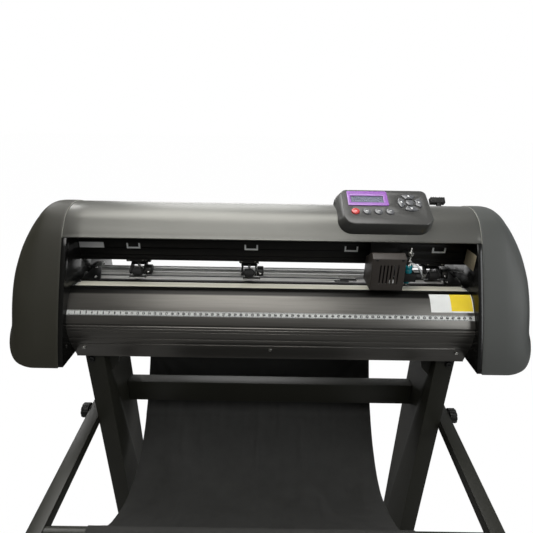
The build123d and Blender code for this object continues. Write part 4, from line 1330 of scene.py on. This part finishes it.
refine("grit_shaft", "steel", 0.0, smooth=30)
grit_points()
refine("shaft_bearings", "steel")
for node in ("x_drive_pulley", "x_idler_pulley", "y_motor_pulley"):
    refine(node, "steel", 0.0003)
refine("drive_belts", "belt", 0.0, smooth=30)
refine("stepper_motors", "black", 0.0006)
refine("main_board", "board", 0.0002)
refine("power_supply", "steel", 0.0005)
refine("power_switch", "black", 0.0008, 3)
refine("lift_shaft", "steel", 0.0)
refine("lift_lever", "black", 0.0005, 3)

shape = Shape()                                   # ribs of the lever grip
LEVER = Matrix.Translation((0, 178, 152)) @ Matrix.Rotation(math.radians(46.65), 4, "X")
for x in (331.5, 336.0, 340.5, 349.5, 354.0, 358.5):
    shape.box(x - 0.9, x + 0.9, 115.2, 128.8, -5.9, 5.9, place=LEVER)
shape.make("lift_grip_ribs", "black", "lift", bevel=0.0004)


# --------------------------------------------------------------- pinch rollers
def pinch_roller(key, x):
    arm = "arm_" + key
    refine("pinch_bracket_" + key, "black", 0.0006)
    refine("pinch_arm_" + key, "black", 0.0006)
    refine("pinch_roller_" + key, "rubber", 0.0005, 3)

    shape = Shape()
    for dx in (-13.0, 13.0):
        cross_screw(shape, (x + dx, 133.0, 150.5), (0, -1, 0), 2.4, 1.1, turn=dx)
    shape.make("pinch_bracket_screws_" + key, "chrome", "carrier_" + key,
               smooth=50)

    shape = Shape()                               # ends of roller axle and arm pivot
    for sign in SIDES:
        end_x = x + sign * 14.45
        shape.lathe([(0, 0), (3.2, 0), (3.2, 0.6), (2.6, 1.2), (1.2, 1.4), (0, 1.4)], 28,
                    place=along_x(end_x, DRUM_Y, 125.15, sign))
        shape.lathe([(0, 0), (2.6, 0), (2.6, 0.8), (2.0, 1.2), (0, 1.3)], 28,
                    place=along_x(end_x, 152, 135.0, sign))
    cross_screw(shape, (x + 21.5, 129.8, 127.4), (0, -0.8, 0.6), 2.6, 1.1, turn=0.5)
    shape.make("pinch_arm_screws_" + key, "chrome", arm, smooth=50)

    shape = Shape()                               # moulded damper block, right of the arm
    shape.prism_x([(130.5, 121.2), (141.5, 121.2), (147.0, 124.5), (149.0, 130.0),
                   (146.5, 135.6), (139.0, 137.0), (132.0, 133.6), (129.0, 127.6)],
                  x + 15.7, x + 27.5)
    shape.make("pinch_damper_" + key, "black", arm, bevel=0.0012, steps=3)

    coil = []                                     # spring between arm and bracket
    for i in range(121):
        a = 2 * math.pi * i / 20
        t = i / 120
        coil.append((x + 2.6 * math.cos(a), 146.5 + 2.6 * math.sin(a) + 4.0 * (1 - t),
                     124.5 + 13.5 * t))
    shape = Shape()
    shape.tube(coil, 0.45, 8)
    shape.make("pinch_spring_" + key, "steel", arm, smooth=60)


for key, x in PINCH_X.items():
    pinch_roller(key, x)


# ----------------------------------------------------------- labels and screws
def apron_label(name, x0, x1, top, bottom, material, above):
    """thin sheet bent over the apron between two heights"""
    points = [p for p in APRON if bottom <= p[1] <= top]
    shape = Shape()
    shape.prism_x(offset(points, above) + offset(points, above - 0.12)[::-1], x0, x1)
    shape.make(name, material, "frame", smooth=40)


apron_label("apron_label_white", 281.0, 356.0, 116.0, 92.5, "label_white", above=0.16)
apron_label("apron_label_yellow", 317.0, 354.6, 115.6, 93.4, "yellow", above=0.20)
shape = Shape()
shape.box(-355.8, -310.5, 129.75, 129.98, 174.6, 185.4)
shape.make("beam_label", "label_silver", "frame", bevel=0.00006)
shape = Shape()
shape.box(356.6, 356.9, 86.0, 123.0, 157.0, 186.0)
shape.make("side_card", "label_beige", "frame", bevel=0.0001)
refine("fasteners", "chrome", 0.0002)
shape = Shape()
for x in (-336.0, 0.0, 336.0):
    cross_screw(shape, (x, 41.3, 15.3), (0, -0.9381, -0.3463), 3.6, 1.9, turn=0.5)
shape.make("apron_screw_heads", "chrome", "frame", smooth=50)


# ----------------------------------------------------------------------- stand
LEG_X = (311.0, 345.0)                            # inner and outer side of a leg
LEG_Y = (57.0, 172.0)                             # front and back of its foot joint
FOOT_TOP_Z = -700
FOOT_X = 328

for node, material, slot, bevel, steps in (
        ("stand_legs", "stand", "stand_coat", 0.0016, 3),
        ("cross_beam", "stand", "stand_coat", 0.0018, 3),
        ("cloth_rail", "stand", "stand_coat", 0.0004, 2),
        ("levelling_feet", "foot", "foot_rubber", 0.0010, 3),
        ("catch_frame", "stand", "stand_coat", 0.0010, 3),
        ("arm_knob_left", "black", "black_plastic", 0.0010, 3),
        ("arm_knob_right", "black", "black_plastic", 0.0010, 3)):
    refine(node, material, bevel, steps)

shape = Shape()
for sign in SIDES:
    place = facing((sign * 334.0, LEG_Y[0], -20.5), (0, -1, 0))
    shape.lathe([(0, 0), (6.6, 0), (6.6, 0.8), (6.2, 1.0)], 36, place=place)
    shape.lathe([(5.2, 1.0), (5.2, 4.0), (4.6, 4.6), (2.9, 4.6), (2.6, 2.6), (0, 2.6)],
                36, place=place)
    for y in (140.5, 154.5):                      # cross beam bolts, outside of the legs
        for z in (-152.0, -174.0):
            hex_bolt(shape, (sign * LEG_X[1], y, z), (sign, 0, 0),
                     across_flats=10, height=5.5, washer=1.0)
shape.make("stand_bolts", "black", "frame", bevel=0.0002, smooth=35)


def weld_bead(shape, start, end, seed):
    """bead of weld with visible ripples"""
    radius = 2.2
    start, end = Vector(start), Vector(end)
    count = max(4, int((end - start).length / 1.0))
    path = [start.lerp(end, k / count) for k in range(count)] + [end]
    rng = random.Random(seed)
    uneven = [rng.uniform(-0.2, 0.2) for _ in path]

    def ripple(t):
        wave = 0.86 + 0.16 * math.sin(t * len(path) * 1.25)
        return radius * (wave + uneven[int(t * (len(path) - 1))] * 0.35)

    shape.tube(path, ripple, 8)


shape = Shape()
for sign in SIDES:
    (xa, xb), (ya, yb) = (sign * LEG_X[0], sign * LEG_X[1]), LEG_Y
    runs = (((xa, ya), (xb, ya)), ((xa, yb), (xb, yb)), ((xa, ya), (xa, yb)), ((xb, ya), (xb, yb)))
    for seed, (start, end) in enumerate(runs, 3):
        weld_bead(shape, (*start, FOOT_TOP_Z), (*end, FOOT_TOP_Z), seed)
shape.make("leg_welds", "stand", "frame", smooth=80)

shape = Shape()                                   # plastic plugs in the ends of the foot bars
for sign in SIDES:
    for y0, y1 in ((-168.0, -164.6), (374.6, 378.0)):
        shape.box(sign * FOOT_X - 20.4, sign * FOOT_X + 20.4, y0, y1, -723.6, -700.4)
shape.make("foot_plugs", "black", "frame", bevel=0.0014, steps=3)


# ----------------------------------------------------------------- catch cloth
CLOTH_X0, CLOTH_X1 = -288.0, 238.0
# side line of the cloth (y, z), from the rear rail down and forwards to the front rod
CLOTH_LINE = smooth_curve([(243, -114.5), (224, -141), (160, -217), (100, -289), (64, -322),
                           (34, -331), (0, -322), (-60, -284), (-110, -240), (-146, -209)], 8)
NX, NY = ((64, 92))


def cloth_sheet():
    lengths = path_lengths(CLOTH_LINE)
    verts, faces = [], []
    for j in range(NY + 1):
        s = lengths[-1] * j / NY
        k = max(i for i in range(len(lengths) - 1) if lengths[i] <= s + 1e-9)
        t = (s - lengths[k]) / (lengths[k + 1] - lengths[k])
        y, z = between(CLOTH_LINE[k], CLOTH_LINE[k + 1], t)
        for i in range(NX + 1):
            verts.append(metres(CLOTH_X0 + (CLOTH_X1 - CLOTH_X0) * i / NX, y, z))
    for j in range(NY):
        for i in range(NX):
            a = j * (NX + 1) + i
            faces.append((a, a + 1, a + NX + 2, a + NX + 1))
    return mesh_object("catch_cloth_fin", verts, faces)


def sheet_share(i):
    """how far vertex i lies across and down the sheet, 0 to 1"""
    return (i % (NX + 1)) / NX, (i // (NX + 1)) / NY


def slacken(cloth):
    """soft uneven slack to start from"""
    noise.seed_set(7)
    for i, v in enumerate(cloth.data.vertices):
        middle = math.sin(math.pi * sheet_share(i)[1])
        q = Vector((v.co.x * 7, v.co.y * 5, v.co.z * 5))
        v.co.y += 0.010 * noise.fractal(q, 1.0, 2.0, 4) * middle
        v.co.z += 0.006 * noise.fractal(q * 2.1 + Vector((5, 1, 2)), 1.0, 2.0, 3) * middle


def gather(cloth):
    """draw in the width at rail and rod, so that the sheet has slack to fold"""
    centre = (CLOTH_X0 + CLOTH_X1) / 2000.0
    for j, factor in ((0, 0.985), (NY, 0.975)):
        for i in range(NX + 1):
            v = cloth.data.vertices[j * (NX + 1) + i]
            v.co.x = centre + (v.co.x - centre) * factor


def simulate(cloth):
    frames = 70
    sim = cloth.modifiers.new("sim", "CLOTH")
    for key, value in dict(
            vertex_group_mass="pin", quality=7, mass=0.25,
            tension_stiffness=25, compression_stiffness=18, shear_stiffness=6,
            bending_stiffness=0.25, tension_damping=8, compression_damping=8,
            shear_damping=6, bending_damping=0.8, air_damping=2.0).items():
        setattr(sim.settings, key, value)
    sim.collision_settings.use_self_collision = False
    sim.collision_settings.use_collision = False
    sim.point_cache.frame_start = 1
    sim.point_cache.frame_end = frames
    for number in range(1, frames + 1):
        SCENE.frame_set(number)
    bake(cloth)
    SCENE.frame_set(1)


def crease(cloth):
    """diagonal drag lines from the corners, pressed folds and fine crumpling"""
    for i, v in enumerate(cloth.data.vertices):
        a, b = sheet_share(i)
        fade = min(1.0, 6 * b, 6 * (1 - b))
        drag = 0.0
        for ca, cb, weight in ((0, 0, 1.0), (1, 0, 1.0), (0, 1, 0.8), (1, 1, 0.8)):
            r = math.hypot(a - ca, b - cb)
            angle = math.atan2(abs(b - cb), abs(a - ca) + 1e-6)
            drag += (weight * math.exp(-r * 3.0) * math.sin(angle * 17 + 3 * ca)
                     * min(1, r * 9))
        fold = (0.0012 * math.exp(-((a - 0.5) / 0.012) ** 2)
                + 0.0010 * math.exp(-((b - 0.30) / 0.008) ** 2)
                - 0.0010 * math.exp(-((b - 0.17) / 0.008) ** 2))
        crumple = noise.fractal(Vector((a * 9, b * 14, 3.3)), 0.9, 2.1, 5)
        v.co.z += fade * (0.0022 * drag + 0.0016 * crumple) + fade * fold
        v.co.y -= fade * (0.0016 * drag) + fade * fold


def catch_cloth():
    cloth = cloth_sheet()
    slacken(cloth)
    last_row = NY * (NX + 1)
    pinned = list(range(NX + 1)) + [last_row + i for i in range(NX + 1)]
    cloth.vertex_groups.new(name="pin").add(pinned, 1.0, "REPLACE")
    gather(cloth)
    simulate(cloth)
    crease(cloth)
    bm = bmesh.new()
    bm.from_mesh(cloth.data)
    bmesh.ops.subdivide_edges(bm, edges=bm.edges, cuts=1, use_grid_fill=True, smooth=0.6)
    bm.to_mesh(cloth.data)
    bm.free()
    thicken(cloth, 0.0009)
    cloth.data.materials.clear()
    cloth.data.materials.append(MAT["cloth"])
    smooth_by_angle(cloth, 60)
    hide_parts("catch_cloth")
    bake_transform(cloth, "frame", "catch", metres(0, 232, -125), metres(0, -140, -205))


def hem(name, body, centre, radius, margin, start, end):
    """cloth turned round a bar along X, between two angles"""
    x0, x1 = CLOTH_X0 + margin, CLOTH_X1 - margin
    rings = []
    for k in range(141):
        x = x0 + (x1 - x0) * k / 140
        ring = []
        for q in range(28):
            a = math.radians(start + (end - start) * q / 27)
            wrinkle = noise.noise(Vector((x * 0.045, a * 1.7, radius)))
            r = radius + 0.7 + 0.55 * wrinkle
            ring.append((x, centre[0] + r * math.cos(a), centre[1] + r * math.sin(a)))
        rings.append(ring)
    shape = Shape()
    shape.loft(rings, closed=False, cap_start=False, cap_end=False)
    obj = shape.make(name, "cloth")
    thicken(obj, 0.0008)
    smooth_by_angle(obj, 60)
    attach(obj, body)


catch_cloth()
hem("rail_hem", "frame", centre=(250, -105), radius=7.0, margin=3, start=-120, end=235)
hem("rod_hem", "catch", centre=(-150, -196), radius=8.0, margin=6, start=-300, end=60)


# ----------------------------------------------------------------------- stage
def make_floor():
    """matte grey floor that looks nearly white to the camera"""
    floor = mesh_object("floor", [(-9, -6, 0), (9, -6, 0), (9, 14, 0), (-9, 14, 0)],
                        [(0, 1, 2, 3)])
    s = Shader("floor_pale")
    grey = s.mix(s.noise(0.6, 2.0, 0.5), (0.15, 0.15, 0.15, 1), (0.17, 0.17, 0.168, 1))
    s.finish({"Base Color": grey, "Roughness": 0.9, "Specular IOR Level": 0.1})
    glow = s.add("ShaderNodeEmission")
    glow.inputs["Color"].default_value = WHITE
    glow.inputs["Strength"].default_value = 1.03
    rays = s.add("ShaderNodeLightPath")
    blend = s.add("ShaderNodeMixShader")
    s.links.new(s.times(rays.outputs["Is Camera Ray"], 0.965), blend.inputs["Fac"])
    s.links.new(s.principled.outputs[0], blend.inputs[1])
    s.links.new(glow.outputs[0], blend.inputs[2])
    s.links.new(blend.outputs[0], s.nodes.get("Material Output").inputs["Surface"])
    floor.data.materials.append(s.material)


def make_world():
    """white to the camera; to the product, brighter towards the right and the back"""
    world = bpy.data.worlds.new("studio")
    SCENE.world = world
    world.use_nodes = True
    nodes, link = world.node_tree.nodes, world.node_tree.links.new
    nodes.clear()
    output = nodes.new("ShaderNodeOutputWorld")
    light = nodes.new("ShaderNodeBackground")
    backdrop = nodes.new("ShaderNodeBackground")
    blend = nodes.new("ShaderNodeMixShader")
    rays = nodes.new("ShaderNodeLightPath")
    coords = nodes.new("ShaderNodeTexCoord")
    axes = nodes.new("ShaderNodeSeparateXYZ")
    ramp = nodes.new("ShaderNodeValToRGB")
    across = nodes.new("ShaderNodeMapRange")
    link(coords.outputs["Generated"], axes.inputs[0])
    link(axes.outputs["X"], across.inputs["Value"])
    across.inputs["From Min"].default_value = -1.0
    across.inputs["From Max"].default_value = 1.0
    stops = ramp.color_ramp.elements
    stops[0].position, stops[0].color = 0.0, (0.16, 0.15, 0.125, 1)
    stops[1].position, stops[1].color = 1.0, (0.62, 0.64, 0.66, 1)
    stops.new(0.5).color = (0.34, 0.34, 0.33, 1)
    link(across.outputs["Result"], ramp.inputs["Fac"])
    depth = nodes.new("ShaderNodeMapRange")
    link(axes.outputs["Y"], depth.inputs["Value"])
    for key, value in (("From Min", -0.6), ("From Max", 0.8), ("To Min", 0.5), ("To Max", 1.3)):
        depth.inputs[key].default_value = value
    scale = nodes.new("ShaderNodeVectorMath")
    scale.operation = "SCALE"
    link(ramp.outputs["Color"], scale.inputs[0])
    link(depth.outputs["Result"], scale.inputs["Scale"])
    link(scale.outputs[0], light.inputs["Color"])
    light.inputs["Strength"].default_value = 0.55
    backdrop.inputs["Color"].default_value = WHITE
    backdrop.inputs["Strength"].default_value = 1.0
    link(rays.outputs["Is Camera Ray"], blend.inputs["Fac"])
    link(light.outputs[0], blend.inputs[1])
    link(backdrop.outputs[0], blend.inputs[2])
    link(blend.outputs[0], output.inputs["Surface"])


def area_light(name, location, target, size, energy, color=(1, 1, 1)):
    """rectangular light aimed at a target, hidden from the camera; metres and watts"""
    light = bpy.data.lights.new(name, "AREA")
    light.shape = "RECTANGLE"
    light.size, light.size_y = size
    light.energy = energy
    light.color = color
    obj = bpy.data.objects.new(name, light)
    SCENE.collection.objects.link(obj)
    obj.location = location
    direction = Vector(target) - Vector(location)
    obj.rotation_euler = direction.to_track_quat("-Z", "Y").to_euler()
    obj.visible_camera = False


def make_camera():
    tilt_down, roll = 23.0, 0.9                   # degrees
    data = bpy.data.cameras.new("camera")
    data.sensor_width = 36.0
    data.lens = 26.34
    data.shift_x = -0.009380863
    camera = bpy.data.objects.new("camera", data)
    SCENE.collection.objects.link(camera)
    camera.location = metres(0, -547.4, 429.2)
    camera.rotation_euler = (Matrix.Rotation(math.radians(90 - tilt_down), 4, "X")
                             @ Matrix.Rotation(math.radians(roll), 4, "Z")).to_euler()
    SCENE.camera = camera


make_floor()
make_world()
WARM, COOL = (1.0, 0.99, 0.97), (0.97, 0.99, 1.0)
area_light("key_front_top", (-0.30, -1.50, 2.78), (0, 0, 0.85), (2.4, 0.85), 22, WARM)
area_light("top_panel", (-0.35, 0.10, 3.3), (-0.1, 0.0, 1.0), (1.8, 2.2), 60, WARM)
area_light("back_panel", (-0.35, 2.4, 2.9), (0, 0.05, 1.0), (1.7, 2.0), 38)
area_light("fill_right", (2.6, -1.6, 1.8), (0.3, 0, 0.85), (1.6, 1.6), 23, COOL)
area_light("left_back_strip", (-2.2, 1.9, 2.6), (0.1, 0, 1.0), (0.4, 1.0), 15)
area_light("rear_low", (0.0, 3.4, 1.3), (0, 0.1, 0.86), (3.2, 0.9), 27)
area_light("rear_floor", (0.0, 1.7, 0.02), (0, 1.4, 2.0), (3.4, 1.6), 15)
make_camera()
SCENE.view_settings.view_transform = "Standard"
